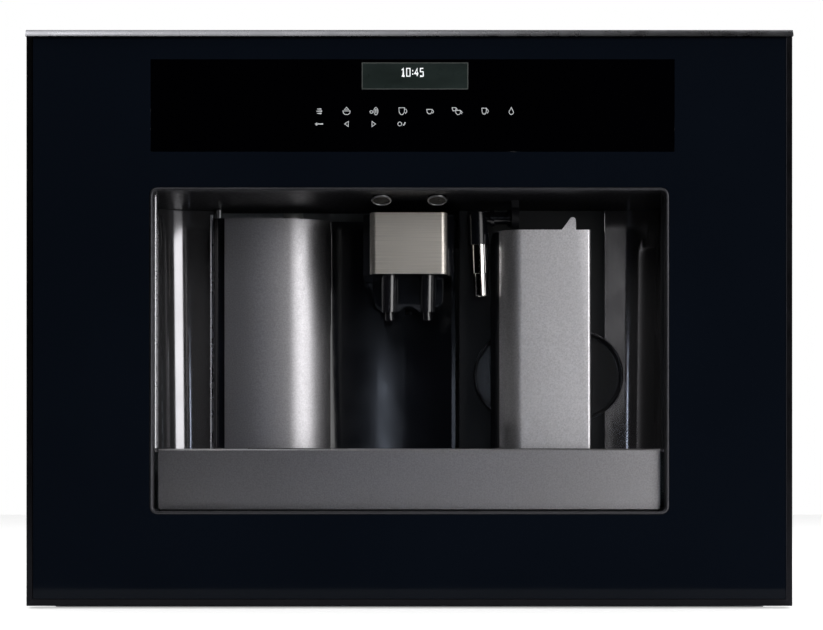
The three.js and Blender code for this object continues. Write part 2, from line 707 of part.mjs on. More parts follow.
function powerInlet() {
  const across = (size) => [INLET_X - size / 2, INLET_X + size / 2];
  const upright = (size) => [INLET_Z - size / 2, INLET_Z + size / 2];
  const face = CASING_REAR + GAP;
  const body = block(across(INLET_WIDTH), [face - INLET_BODY, face + INLET_PROUD], upright(INLET_HEIGHT));
  const flange = block(
    across(INLET_WIDTH + 2 * INLET_FLANGE),
    [face, face + INLET_PROUD],
    upright(INLET_HEIGHT + 2 * INLET_FLANGE),
  );
  const socketWidth = INLET_WIDTH - 4 * INLET_FLANGE;
  const socketHeight = INLET_HEIGHT - 2 * INLET_FLANGE;
  const bed = face + INLET_PROUD - INLET_SOCKET;
  const socket = block(across(socketWidth), [bed, face + INLET_PROUD + 1], upright(socketHeight));
  const pins = [-1, 0, 1].map((place) => {
    const x = INLET_X + place * INLET_PIN_SPACING;
    const z = INLET_Z + (place === 0 ? INLET_PIN_STEP : -INLET_PIN_STEP);
    return block(
      [x - INLET_PIN_WIDTH / 2, x + INLET_PIN_WIDTH / 2],
      [bed - INLET_PIN_WIDTH, bed + INLET_PIN_LENGTH],
      [z - INLET_PIN_HEIGHT / 2, z + INLET_PIN_HEIGHT / 2],
    );
  });
  return join(cut(join(body, flange), socket), ...pins);
}

function mainSwitch() {
  const y = CASING_REAR - SHEET / 2;
  const half = SWITCH_HEIGHT / 2;
  const z = SWITCH_Z;
  const outline = outlineOf([
    [y - SWITCH_THICKNESS / 2, z - half * 0.7],
    [y + SHEET, z - half],
    [y + SWITCH_THICKNESS / 2, z - half],
    [y + SWITCH_THICKNESS / 3, z],
    [y + SWITCH_THICKNESS / 2, z + half],
    [y + SHEET, z + half],
    [y - SWITCH_THICKNESS / 2, z + half * 0.7],
  ]);
  return pushed(outline, "x", SWITCH_X - SWITCH_WIDTH / 2, SWITCH_X + SWITCH_WIDTH / 2);
}

add("power_inlet", FINISHES.blackMatte, powerInlet());
add("main_switch", FINISHES.blackMatte, mainSwitch());

// ---------------------------------------------------------------- fascia

function fasciaFrame() {
  const ledge = TRIM_WIDTH + TRIM_LEDGE;
  return sweptFrame(
    HALF_FASCIA,
    [FASCIA_LIFT, FASCIA_TOP],
    0,
    [
      [0, TRIM_SLOPE],
      [TRIM_WIDTH, 0],
      [TRIM_WIDTH, BEHIND_GLASS],
      [ledge, BEHIND_GLASS],
      [ledge, BEHIND_GLASS + PLASTIC],
      [TRIM_WIDTH, BEHIND_GLASS + PLASTIC],
      [TRIM_WIDTH, FASCIA_DEPTH - PLASTIC],
      [TRIM_FLANGE, FASCIA_DEPTH - PLASTIC],
      [TRIM_FLANGE, FASCIA_DEPTH],
      [0, FASCIA_DEPTH],
    ],
    0,
  );
}

function fasciaGlass() {
  const half = HALF_FASCIA - TRIM_WIDTH - GAP;
  const low = FASCIA_LIFT + TRIM_WIDTH + GAP;
  const high = FASCIA_TOP - TRIM_WIDTH - GAP;
  const outline = outlineOf([
    [-half, low],
    [half, low],
    [half, high],
    [-half, high],
  ]);
  outline.holes.push(
    roundedOutline([-HALF_BAY - GAP, HALF_BAY + GAP], [BAY_BOTTOM - GAP, BAY_TOP + GAP], BAY_RADIUS + GAP),
    outlineOf([
      [CONTROL_LEFT - GAP, CONTROL_BOTTOM - GAP],
      [CONTROL_RIGHT + GAP, CONTROL_BOTTOM - GAP],
      [CONTROL_RIGHT + GAP, CONTROL_TOP + GAP],
      [CONTROL_LEFT - GAP, CONTROL_TOP + GAP],
    ]),
  );
  return pushed(outline, "y", at(GLASS_RECESS), at(GLASS_REAR), 4);
}

const DISPLAY_Z = CONTROL_TOP - DISPLAY_DROP;
const DISPLAY_REAR = BEHIND_GLASS + DISPLAY_DEPTH;
const BOARD_Z = [CONTROL_BOTTOM + 2, CONTROL_BOTTOM + 2 + BOARD_HEIGHT];

add("fascia_frame", FINISHES.trim, fasciaFrame());
add("fascia_glass", FINISHES.blackGlass, fasciaGlass());
add(
  "control_glass",
  FINISHES.controlGlass,
  block([CONTROL_LEFT, CONTROL_RIGHT], [at(GLASS_RECESS), at(GLASS_REAR)], [CONTROL_BOTTOM, CONTROL_TOP]),
);
add(
  "display_module",
  FINISHES.blackMatte,
  block(
    [-DISPLAY_WIDTH / 2, DISPLAY_WIDTH / 2],
    [at(BEHIND_GLASS), at(DISPLAY_REAR)],
    [DISPLAY_Z - DISPLAY_HEIGHT / 2, Math.min(DISPLAY_Z + DISPLAY_HEIGHT / 2, CONTROL_TOP)],
  ),
);
add(
  "control_board",
  FINISHES.board,
  block([-BOARD_WIDTH / 2, BOARD_WIDTH / 2], [at(DISPLAY_REAR + GAP), at(DISPLAY_REAR + GAP + BOARD)], BOARD_Z),
);

function bayBezel() {
  return sweptFrame(
    HALF_BAY,
    [BAY_BOTTOM, BAY_TOP],
    BAY_RADIUS,
    [
      [0, BEZEL_LIP],
      [BEZEL / 2, 0],
      [BEZEL, BEZEL_LIP],
      [BEZEL, BEZEL_DEPTH],
      [0, BEZEL_DEPTH],
      [0, BEHIND_GLASS + PLASTIC],
      [-BEZEL_FLANGE, BEHIND_GLASS + PLASTIC],
      [-BEZEL_FLANGE, BEHIND_GLASS],
      [0, BEHIND_GLASS],
    ],
    4,
  );
}

add("bay_bezel", FINISHES.trim, bayBezel());

// ---------------------------------------------------------------- cup bay

// Ceiling with the milk port that hangs from it and carries the milk spout's arm.
function bayCeiling() {
  const half = WALL_INSIDE + PLASTIC;
  const plate = block(
    [-half, half],
    [at(LINER_FRONT), at(BAY_DEPTH + 2 * WALL_RETURN)],
    [BAY_CEILING, BAY_CEILING + PLASTIC],
  );
  const y = at(ARM_DEPTH);
  const x = [PORT_LEFT, PORT_LEFT + PORT_WIDTH];
  const disc = rod("x", [y, ARM_HEIGHT], PORT_RADIUS, ...x, 24);
  const neck = block(x, [y - ARM_RADIUS, y + ARM_RADIUS], [ARM_HEIGHT, BAY_CEILING + PLASTIC / 2]);
  const bore = rod("x", [y, ARM_HEIGHT], SPIGOT_RADIUS + GAP, x[0] - 1, x[0] + SPIGOT_LENGTH + GAP, 16);
  return cut(join(plate, disc, neck), bore);
}

function lamp(side) {
  const x = (side * LAMP_SPACING) / 2;
  const y = at(LAMP_DEPTH);
  const body = rod("z", [x, y], LAMP_RADIUS, WALL_TOP - LAMP_REAR_HEIGHT, WALL_TOP, 24);
  const far = 2 * LAMP_RADIUS;
  const slope = (LAMP_REAR_HEIGHT - LAMP_FRONT_HEIGHT) / 2;
  const middle = WALL_TOP - (LAMP_REAR_HEIGHT + LAMP_FRONT_HEIGHT) / 2;
  const below = outlineOf([
    [y - far, middle + 2 * slope],
    [y - far, middle - far],
    [y + far, middle - far],
    [y + far, middle - 2 * slope],
  ]);
  return cut(body, pushed(below, "x", x - far, x + far));
}

// The wall's plan: out behind the bezel, along the bay's side, round the corner, and back behind the bay.
// Its foot rests on the side of the tray's housing.
function bayWall(side) {
  const front = at(LINER_FRONT + PLASTIC);
  const corner = (radius) => arcPoints([CORNER_X, at(BAY_DEPTH) - CORNER_RADIUS], radius, 0, Math.PI / 2);
  const path = [
    [BAY_INSIDE, front],
    [WALL_INSIDE, front],
    ...corner(CORNER_RADIUS),
    [WALL_END, at(BAY_DEPTH)],
  ];
  const plan = pushed(strip(path, -PLASTIC), "z", WALL_BOTTOM, WALL_TOP);
  const returned = block(
    [WALL_END, WALL_END + PLASTIC],
    [at(BAY_DEPTH), at(BAY_DEPTH) + WALL_RETURN],
    [WALL_BOTTOM, WALL_TOP],
  );
  const outline = [[CORNER_X, front], [WALL_INSIDE + PLASTIC / 2, front], ...corner(CORNER_RADIUS + PLASTIC / 2)];
  const foot = pushed(outlineOf(outline), "z", WALL_BOTTOM, WALL_BOTTOM + PLASTIC);
  const wall = join(plan, returned, foot);
  return side > 0 ? wall : wall.mirror([1, 0, 0]);
}

// The recess behind the milk container, a slot with half-round ends, grown all round by a distance.
function gripSlot(grow, from, to) {
  const end = (x, start) => arcPoints([x, GRIP_Z], GRIP_RADIUS + grow, start, start + Math.PI, 18);
  const outline = [
    ...end(GRIP_RIGHT - GRIP_RADIUS, -Math.PI / 2),
    ...end(GRIP_LEFT + GRIP_RADIUS, Math.PI / 2),
  ];
  return pushed(outlineOf(outline), "y", from, to);
}

const gripBore = () => gripSlot(GAP, at(GRIP_FRONT_DEPTH) - CORNER_RADIUS, at(GRIP_REAR_DEPTH));

function gripCup() {
  return cut(
    gripSlot(0, at(GRIP_FRONT_DEPTH), at(GRIP_REAR_DEPTH)),
    gripSlot(-PLASTIC, at(GRIP_FRONT_DEPTH) - 1, at(GRIP_REAR_DEPTH) - PLASTIC),
  );
}

// Back wall of the milk bay, with the finger recess and the shelf that the milk container stands on.
function milkBayBack() {
  const right = WALL_END - GAP;
  const panel = block([MILK_BACK_LEFT, right], [at(BAY_DEPTH), at(BACK_REAR)], [WALL_BOTTOM, WALL_TOP]);
  const edge = block(
    [MILK_BACK_LEFT, MILK_BACK_LEFT + PLASTIC],
    [at(BAY_DEPTH), at(BAY_DEPTH) + WALL_RETURN],
    [WALL_BOTTOM, WALL_TOP],
  );
  const shelf = block(
    [MILK_LEFT - MILK_SHELF_OVERHANG, MILK_RIGHT + MILK_SHELF_OVERHANG],
    [at(TRAY_REAR) + MILK_SHELF_OVERHANG, at(BACK_REAR)],
    [MILK_BOTTOM - GAP - MILK_SHELF, MILK_BOTTOM - GAP],
  );
  return join(cut(join(panel, edge), gripBore()), shelf);
}

// Floor and side walls that the drip tray slides in, narrower behind for the grounds bin.
function bayFloor() {
  const front = at(TRAY_REAR);
  const step = at(BIN_FRONT) + GAP;
  const rear = at(BIN_FRONT + BIN_LENGTH) + GAP;
  const channel = (x, y) => {
    const outer = block([x[0] - PLASTIC, x[1] + PLASTIC], y, [BAY_FLOOR - PLASTIC, TRAY_HEADROOM]);
    return { outer, inner: block(x, [y[0] - 1, y[1] + 1], [BAY_FLOOR, TRAY_HEADROOM + 1]) };
  };
  const wide = channel([-HOUSING_WALL, HOUSING_WALL], [front, step]);
  const narrow = channel([BIN_LEFT - RUNNING_GAP, BIN_LEFT + BIN_WIDTH + RUNNING_GAP], [step - GAP, rear]);
  return join(cut(wide.outer, wide.inner), cut(narrow.outer, narrow.inner));
}

// The pin that the door turns on, with the foot that holds its lower end on the wall.
function doorHingePin() {
  const pin = rod("z", [HINGE_X, at(HINGE_DEPTH)], HINGE_PIN_RADIUS, WALL_BOTTOM, WALL_TOP, 16);
  const foot = block(
    [-WALL_END + GAP, HINGE_X + KNUCKLE_RADIUS],
    [at(HINGE_DEPTH) - KNUCKLE_RADIUS, at(BAY_DEPTH) + WALL_RETURN],
    [WALL_BOTTOM, WALL_BOTTOM + PLASTIC],
  );
  return join(pin, foot);
}

add("bay_ceiling", FINISHES.blackGloss, bayCeiling());
add("lamp_left", FINISHES.lampRing, lamp(-1));
add("lamp_right", FINISHES.lampRing, lamp(1));
add("bay_wall_left", FINISHES.blackGloss, bayWall(-1));
add("bay_wall_right", FINISHES.blackGloss, cut(bayWall(1), gripBore()));
add("milk_bay_back", FINISHES.blackGloss, milkBayBack());
add("grip_cup", FINISHES.blackGloss, gripCup());
add("bay_floor", FINISHES.blackMatte, bayFloor());
add("door_hinge_pin", FINISHES.steel, doorHingePin());

// ---------------------------------------------------------------- service door

const SPOUT_REAR = BAY_DEPTH + 5; // just in front of the door's hollow
const GUIDE_REAR = at(SPOUT_REAR) + 3 * SHELL + SHELL_HOLLOW; // the spout's guide reaches through the shell

// Plan of the door's front: flat beside the hinge, gently bent, then rolled back.
function doorFace(inset, left) {
  const flatEnd = DOOR_LEFT + SKIN_FLAT;
  const y = at(DOOR_FACE_DEPTH);
  const front = -Math.PI / 2;
  const shift = LEAD_RADIUS - SKIN_RADIUS;
  const rollCentre = [flatEnd + shift * Math.sin(LEAD_TURN), y + LEAD_RADIUS - shift * Math.cos(LEAD_TURN)];
  const lead = arcPoints([flatEnd, y + LEAD_RADIUS], LEAD_RADIUS - inset, front, front + LEAD_TURN, 4);
  const roll = arcPoints(rollCentre, SKIN_RADIUS - inset, front + LEAD_TURN, front + SKIN_TURN);
  return [[left, y + inset], ...lead, ...roll.slice(1)];
}

// The black part behind the cups: a shallow hollow from the end of the roll to the door's free edge.
function hollowPath(start) {
  const half = (DOOR_RIGHT - start[0]) / 2;
  const radius = (half * half + SHELL_HOLLOW * SHELL_HOLLOW) / (2 * SHELL_HOLLOW);
  const spread = Math.asin(half / radius);
  const centre = [start[0] + half, start[1] + SHELL_HOLLOW - radius];
  return arcPoints(centre, radius, Math.PI / 2 + spread, Math.PI / 2 - spread, 12);
}

function doorShell() {
  const face = doorFace(SHELL_DEPTH - DOOR_FACE_DEPTH, DOOR_LEFT);
  const end = face[face.length - 1];
  const start = [end[0] + SHELL, end[1] + SHELL / 2];
  const path = [...face, ...hollowPath(start)];
  const z = [DOOR_BOTTOM, DOOR_TOP];
  const shell = pushed(strip(path, SHELL), "z", ...z);
  const edgeY = path[path.length - 1][1];
  const edge = block([DOOR_RIGHT - SHELL, DOOR_RIGHT], [edgeY, edgeY + SHELL_RETURN], z);
  const knuckleY = at(HINGE_DEPTH);
  const knuckle = rod("z", [HINGE_X, knuckleY], KNUCKLE_RADIUS, ...z, 20);
  const web = block([HINGE_X, DOOR_LEFT + SHELL], [at(SHELL_DEPTH) + GAP, at(SHELL_DEPTH) + SHELL], z);
  const bore = rod("z", [HINGE_X, knuckleY], HINGE_PIN_RADIUS + RUNNING_GAP, z[0] - 1, z[1] + 1, 16);
  const slotHalf = GUIDE_WIDTH / 2 + RUNNING_GAP;
  const slot = block(
    [SPOUT_X - slotHalf, SPOUT_X + slotHalf],
    [at(BAY_DEPTH), GUIDE_REAR + RUNNING_GAP],
    [SPOUT_TOP - GUIDE_LENGTH - SPOUT_TRAVEL - 2 * RUNNING_GAP, SPOUT_TOP],
  );
  return cut(join(shell, edge, knuckle, web), bore, slot);
}

add(
  "door_front_skin",
  FINISHES.satinGrey,
  pushed(strip(doorFace(0, DOOR_LEFT), SKIN), "z", DOOR_BOTTOM, DOOR_TOP),
);
add("door_shell", FINISHES.blackGloss, doorShell());

// ---------------------------------------------------------------- coffee spout

const SPOUT_INNER_FRONT = SPOUT_FACE_DEPTH + SPOUT_PLATE + GAP;

function spoutHousing() {
  const waist = HALF_SPOUT_PLATE - SPOUT_PLATE - GAP;
  const ring = (inset) => {
    const front = at(SPOUT_INNER_FRONT) + inset;
    const step = at(SPOUT_WAIST_DEPTH) + inset;
    const rear = at(SPOUT_REAR) - inset;
    return outlineOf([
      [SPOUT_X - waist + inset + SPOUT_PLATE_RADIUS, front],
      [SPOUT_X + waist - inset - SPOUT_PLATE_RADIUS, front],
      [SPOUT_X + waist - inset, front + SPOUT_PLATE_RADIUS],
      [SPOUT_X + waist - inset, step],
      [SPOUT_X + HALF_SPOUT - inset, step + SPOUT_PLATE_RADIUS],
      [SPOUT_X + HALF_SPOUT - inset, rear],
      [SPOUT_X - HALF_SPOUT + inset, rear],
      [SPOUT_X - HALF_SPOUT + inset, step + SPOUT_PLATE_RADIUS],
      [SPOUT_X - waist + inset, step],
      [SPOUT_X - waist + inset, front + SPOUT_PLATE_RADIUS],
    ]);
  };
  const body = pushed(ring(0), "z", SPOUT_BOTTOM, SPOUT_TOP);
  const pocket = pushed(ring(PLASTIC), "z", SPOUT_BOTTOM - 1, SPOUT_TOP - PLASTIC);
  const shroudY = [at(NOZZLE_DEPTH + NOZZLE_RADIUS) + 2 * PLASTIC, at(SPOUT_REAR)];
  const shroudX = [SPOUT_X - SHROUD_WIDTH / 2, SPOUT_X + SHROUD_WIDTH / 2];
  const shroudOutline = new THREE.Shape();
  shroudOutline.moveTo(shroudX[0], SPOUT_BOTTOM + PLASTIC);
  shroudOutline.lineTo(shroudX[0], SPOUT_BOTTOM - SHROUD_DROP + SHROUD_RADIUS);
  shroudOutline.absarc(
    shroudX[0] + SHROUD_RADIUS,
    SPOUT_BOTTOM - SHROUD_DROP + SHROUD_RADIUS,
    SHROUD_RADIUS,
    Math.PI,
    1.5 * Math.PI,
  );
  shroudOutline.lineTo(shroudX[1] - SHROUD_RADIUS, SPOUT_BOTTOM - SHROUD_DROP);
  shroudOutline.absarc(
    shroudX[1] - SHROUD_RADIUS,
    SPOUT_BOTTOM - SHROUD_DROP + SHROUD_RADIUS,
    SHROUD_RADIUS,
    -Math.PI / 2,
    0,
  );
  shroudOutline.lineTo(shroudX[1], SPOUT_BOTTOM + PLASTIC);
  const shroud = pushed(shroudOutline, "y", ...shroudY, 4);
  const shelf = block([SPOUT_X - HALF_SPOUT, SPOUT_X + HALF_SPOUT], shroudY, [SPOUT_BOTTOM, SPOUT_BOTTOM + PLASTIC]);
  const guide = block(
    [SPOUT_X - GUIDE_WIDTH / 2, SPOUT_X + GUIDE_WIDTH / 2],
    [at(SPOUT_REAR) - PLASTIC, GUIDE_REAR],
    [SPOUT_TOP - RUNNING_GAP - GUIDE_LENGTH, SPOUT_TOP - RUNNING_GAP],
  );
  return join(cut(body, pocket), shelf, shroud, guide);
}

function spoutFrontPlate() {
  const y = at(SPOUT_FACE_DEPTH);
  const radius = SPOUT_PLATE_RADIUS;
  const left = SPOUT_X - HALF_SPOUT_PLATE;
  const right = SPOUT_X + HALF_SPOUT_PLATE;
  const path = [
    [left, y + radius + PLASTIC],
    ...arcPoints([left + radius, y + radius], radius, Math.PI, 1.5 * Math.PI, 6),
    ...arcPoints([right - radius, y + radius], radius, -Math.PI / 2, 0, 6),
    [right, y + radius + PLASTIC],
  ];
  return pushed(strip(path, SPOUT_PLATE), "z", SPOUT_BOTTOM, SPOUT_TOP);
}

function spoutNozzles() {
  const y = at(NOZZLE_DEPTH);
  const holderHalf = HALF_SPOUT_PLATE - 2 * PLASTIC - SPOUT_PLATE - GAP;
  const holder = block(
    [SPOUT_X - holderHalf, SPOUT_X + holderHalf],
    [at(SPOUT_INNER_FRONT) + PLASTIC + SPOUT_PLATE_RADIUS, at(NOZZLE_DEPTH + NOZZLE_RADIUS) + PLASTIC],
    [SPOUT_BOTTOM + 2 * PLASTIC, SPOUT_TOP - PLASTIC - GAP],
  );
  const places = [-1, 1].map((side) => SPOUT_X + (side * NOZZLE_SPACING) / 2);
  const tubes = places.map((x) => rod("z", [x, y], NOZZLE_RADIUS, NOZZLE_BOTTOM, SPOUT_BOTTOM + 3 * PLASTIC, 24));
  const tipBottom = NOZZLE_BOTTOM - NOZZLE_TIP;
  const tips = places.map((x) => rod("z", [x, y], NOZZLE_TIP_RADIUS, tipBottom, NOZZLE_BOTTOM + 1, 16));
  const bores = places.map((x) => rod("z", [x, y], NOZZLE_BORE, tipBottom - 1, SPOUT_BOTTOM, 12));
  const half = NOZZLE_SPACING / 2;
  const web = new THREE.Shape();
  web.moveTo(SPOUT_X - half, NOZZLE_BOTTOM);
  web.lineTo(SPOUT_X - half + NOZZLE_RADIUS, NOZZLE_BOTTOM);
  web.quadraticCurveTo(SPOUT_X, NOZZLE_BOTTOM + NOZZLE_WEB * 1.6, SPOUT_X + half - NOZZLE_RADIUS, NOZZLE_BOTTOM);
  web.lineTo(SPOUT_X + half, NOZZLE_BOTTOM);
  web.lineTo(SPOUT_X + half, NOZZLE_BOTTOM + NOZZLE_WEB);
  web.lineTo(SPOUT_X - half, NOZZLE_BOTTOM + NOZZLE_WEB);
  const bridge = pushed(web, "y", y - NOZZLE_RADIUS / 2, y + NOZZLE_RADIUS / 2);
  return cut(join(holder, bridge, ...tubes, ...tips), ...bores);
}

add("spout_housing", FINISHES.blackGloss, spoutHousing());
add("spout_front_plate", FINISHES.brushed, spoutFrontPlate());
add("spout_nozzles", FINISHES.blackGloss, spoutNozzles());

// ---------------------------------------------------------------- milk container and milk spout

// Plan of the container, open at the back, drawn from the rear left to the rear right.
function milkPlan(inset) {
  const left = MILK_LEFT + inset;
  const right = MILK_RIGHT - inset;
  const front = at(MILK_FACE_DEPTH) + inset;
  const roll = MILK_ROLL - inset;
  const edge = Math.max(MILK_EDGE_RADIUS - inset, 0.5);
  return [
    [left, at(MILK_REAR_DEPTH)],
    ...arcPoints([left + roll, front + roll], roll, Math.PI, 1.5 * Math.PI, 8),
    ...arcPoints([right - edge, front + edge], edge, -Math.PI / 2, 0, 3),
    [right, at(MILK_REAR_DEPTH)],
  ];
}

function milkJugCover() {
  const wrap = pushed(strip(milkPlan(0), MILK_SHEET), "z", MILK_BOTTOM, MILK_TOP);
  const tab = new THREE.Shape();
  const tip = MILK_TOP + TAB_HEIGHT;
  tab.moveTo(TAB_LEFT, MILK_TOP - 1);
  tab.lineTo(TAB_RIGHT, MILK_TOP - 1);
  tab.lineTo(TAB_RIGHT, tip - TAB_TIP);
  tab.quadraticCurveTo(TAB_RIGHT, tip, TAB_RIGHT - TAB_TIP, tip);
  tab.quadraticCurveTo(TAB_RIGHT - 1.5 * TAB_TIP, tip, TAB_RIGHT - 2 * TAB_TIP, tip - TAB_TIP);
  tab.lineTo(TAB_LEFT, MILK_TOP);
  return join(wrap, pushed(tab, "y", at(MILK_FACE_DEPTH), at(MILK_FACE_DEPTH) + MILK_SHEET, 4));
}

const MILK_INSIDE = MILK_SHEET + GAP;
const JUG_TOP = MILK_TOP - MILK_LID_RECESS - MILK_LID - GAP;

function milkJug() {
  const outer = pushed(outlineOf(milkPlan(MILK_INSIDE)), "z", MILK_BOTTOM, JUG_TOP);
  const inner = pushed(outlineOf(milkPlan(MILK_INSIDE + PLASTIC)), "z", MILK_BOTTOM + PLASTIC, JUG_TOP + 1);
  const rear = block(
    [MILK_LEFT + MILK_INSIDE + 1, MILK_RIGHT - MILK_INSIDE - 1],
    [at(MILK_REAR_DEPTH) - PLASTIC, at(MILK_REAR_DEPTH)],
    [MILK_BOTTOM, JUG_TOP],
  );
  return join(cut(outer, inner), rear);
}

function milkLid() {
  const plate = pushed(outlineOf(milkPlan(MILK_INSIDE)), "z", JUG_TOP + GAP, JUG_TOP + GAP + MILK_LID);
  const plug = pushed(outlineOf(milkPlan(MILK_INSIDE + 2 * PLASTIC)), "z", JUG_TOP - 2 * PLASTIC, JUG_TOP + 1);
  const clearance = block(
    [MILK_LEFT, MILK_RIGHT],
    [at(MILK_REAR_DEPTH) - 2 * PLASTIC, at(MILK_REAR_DEPTH) + 1],
    [JUG_TOP - 3 * PLASTIC, JUG_TOP + GAP],
  );
  return join(plate, cut(plug, clearance));
}

function frothDial() {
  const z = JUG_TOP + GAP + MILK_LID + GAP;
  const y = at(DIAL_DEPTH);
  const disc = rod("z", [DIAL_X, y], DIAL_RADIUS, z, z + DIAL_HEIGHT / 2, 24);
  const bar = block([DIAL_X - DIAL_RADIUS, DIAL_X + DIAL_RADIUS], [y - 1.5, y + 1.5], [z, z + DIAL_HEIGHT]);
  const round = rod("z", [DIAL_X, y], DIAL_RADIUS, z, z + DIAL_HEIGHT, 24);
  return join(disc, bar.intersect(round));
}

// The leg and the tubes below it lean slightly to the right, about the arm's end.
function leaned(solid) {
  const degrees = THREE.MathUtils.radToDeg(MILK_SPOUT_TILT);
  return solid
    .translate([-ELBOW_X, 0, -ARM_HEIGHT])
    .rotate([0, -degrees, 0])
    .translate([ELBOW_X, 0, ARM_HEIGHT]);
}

function milkElbow() {
  const y = at(ARM_DEPTH);
  const leg = rod("z", [ELBOW_X, y], ELBOW_RADIUS, ARM_HEIGHT - ELBOW_DROP, ARM_HEIGHT + ELBOW_RISE, 24);
  const bore = rod(
    "z",
    [ELBOW_X, y],
    MILK_NOZZLE_RADIUS + RUNNING_GAP,
    ARM_HEIGHT - ELBOW_DROP - 1,
    ARM_HEIGHT - ARM_RADIUS - 2,
    24,
  );
  const armEnd = PORT_LEFT - GAP;
  const arm = rod("x", [y, ARM_HEIGHT], ARM_RADIUS, ELBOW_X, armEnd, 20);
  const collars = [ELBOW_X + ELBOW_RADIUS + 2, armEnd - ARM_COLLAR_WIDTH].map((x) =>
    rod("x", [y, ARM_HEIGHT], ARM_COLLAR, x, x + ARM_COLLAR_WIDTH, 20),
  );
  const spigot = rod("x", [y, ARM_HEIGHT], SPIGOT_RADIUS, armEnd - 1, PORT_LEFT + SPIGOT_LENGTH, 16);
  return join(leaned(cut(leg, bore)), arm, ...collars, spigot);
}

const SLEEVE_TOP = ARM_HEIGHT - ELBOW_DROP - GAP;
const SLEEVE_BOTTOM = SLEEVE_TOP - SLEEVE_LENGTH;

function milkSleeve() {
  const centre = [ELBOW_X, at(ARM_DEPTH)];
  const outer = rod("z", centre, SLEEVE_RADIUS, SLEEVE_BOTTOM, SLEEVE_TOP, 24);
  const bore = rod("z", centre, MILK_NOZZLE_RADIUS + RUNNING_GAP, SLEEVE_BOTTOM - 1, SLEEVE_TOP + 1, 24);
  return leaned(cut(outer, bore));
}

function milkNozzle() {
  const centre = [ELBOW_X, at(ARM_DEPTH)];
  const low = SLEEVE_BOTTOM - MILK_NOZZLE_SHOWING;
  const high = SLEEVE_BOTTOM + MILK_NOZZLE_HIDDEN;
  const outer = rod("z", centre, MILK_NOZZLE_RADIUS, low, high, 24);
  return leaned(cut(outer, rod("z", centre, MILK_NOZZLE_RADIUS - MILK_NOZZLE_WALL, low - 1, high + 1, 24)));
}

add("milk_jug", FINISHES.blackMatte, milkJug());
add("milk_jug_cover", FINISHES.satinGrey, milkJugCover());
add("milk_lid", FINISHES.blackMatte, milkLid());
add("froth_dial", FINISHES.blackMatte, frothDial());
add("milk_elbow", FINISHES.blackGloss, milkElbow());
add("milk_sleeve", FINISHES.chrome, milkSleeve());
add("milk_nozzle", FINISHES.chrome, milkNozzle());

// ---------------------------------------------------------------- drip tray

function trayFront() {
  const y = at(TRAY_FACE_DEPTH);
  const chamfer = TRAY_FACE_CHAMFER;
  const outline = outlineOf([
    [y + chamfer, TRAY_BOTTOM],
    [y + TRAY_FACE, TRAY_BOTTOM],
    [y + TRAY_FACE, TRAY_TOP],
    [y + chamfer, TRAY_TOP],
    [y, TRAY_TOP - chamfer],
    [y, TRAY_BOTTOM + chamfer],
  ]);
  const radius = BAY_RADIUS - BEZEL;
  const corners = roundedOutline([-HALF_TRAY, HALF_TRAY], [TRAY_BOTTOM, TRAY_TOP + radius], radius);
  return pushed(outline, "x", -HALF_TRAY, HALF_TRAY).intersect(pushed(corners, "y", y - 1, y + TRAY_FACE + 1, 4));
}

function basin() {
  const y = [at(TRAY_REAR), at(TRAY_REAR + TRAY_LENGTH)];
  const outer = block([-HALF_BASIN, HALF_BASIN], y, [TRAY_BOTTOM, BASIN_TOP]);
  const inner = block(
    [-HALF_BASIN + PLASTIC, HALF_BASIN - PLASTIC],
    [y[0] + PLASTIC, y[1] - PLASTIC],
    [BASIN_FLOOR, BASIN_TOP + 1],
  );
  return cut(outer, inner);
}

function trayGrille() {
  const half = HALF_BASIN - GRILLE_BORDER;
  const y = [at(TRAY_REAR), at(TRAY_REAR + TRAY_LENGTH)];
  const inside = [y[0] + GRILLE_BORDER, y[1] - GRILLE_BORDER];
  const pitch = (2 * half) / GRILLE_SLOTS;
  const z = [BASIN_TOP + GAP, BASIN_TOP + GAP + GRILLE];
  const through = [z[0] - 1, z[1] + 1];
  const floatHole = FLOAT_RADIUS + 2 * RUNNING_GAP;
  const middles = Array.from({ length: GRILLE_SLOTS }, (_, i) => -half + pitch * (i + 0.5));
  const slots = middles
    .filter((x) => Math.abs(x - FLOAT_X) > floatHole + GRILLE_SLOT_WIDTH)
    .map((x) => block([x - GRILLE_SLOT_WIDTH / 2, x + GRILLE_SLOT_WIDTH / 2], inside, through));
  return cut(
    block([-HALF_BASIN, HALF_BASIN], y, z),
    ...slots,
    rod("z", [FLOAT_X, at(FLOAT_DEPTH)], floatHole, ...through, 20),
  );
}

function groundsBin() {
  const x = [BIN_LEFT, BIN_LEFT + BIN_WIDTH];
  const y = [at(BIN_FRONT), at(BIN_FRONT + BIN_LENGTH)];
  const outer = block(x, y, [TRAY_BOTTOM, BIN_TOP]);
  const inner = block(
    [x[0] + PLASTIC, x[1] - PLASTIC],
    [y[0] + PLASTIC, y[1] - PLASTIC],
    [BASIN_FLOOR, BIN_TOP + 1],
  );
  return cut(outer, inner);
}

add("drip_basin", FINISHES.blackMatte, basin());
add("tray_front", FINISHES.satinGrey, trayFront());
add("tray_grille", FINISHES.steel, trayGrille());
add("grounds_bin", FINISHES.blackMatte, groundsBin());
add(
  "tray_float",
  FINISHES.whitePlastic,
  rod("z", [FLOAT_X, at(FLOAT_DEPTH)], FLOAT_RADIUS, BASIN_FLOOR + GAP, BASIN_FLOOR + GAP + FLOAT_HEIGHT, 20),
);

// ---------------------------------------------------------------- beans, grinder and brew unit

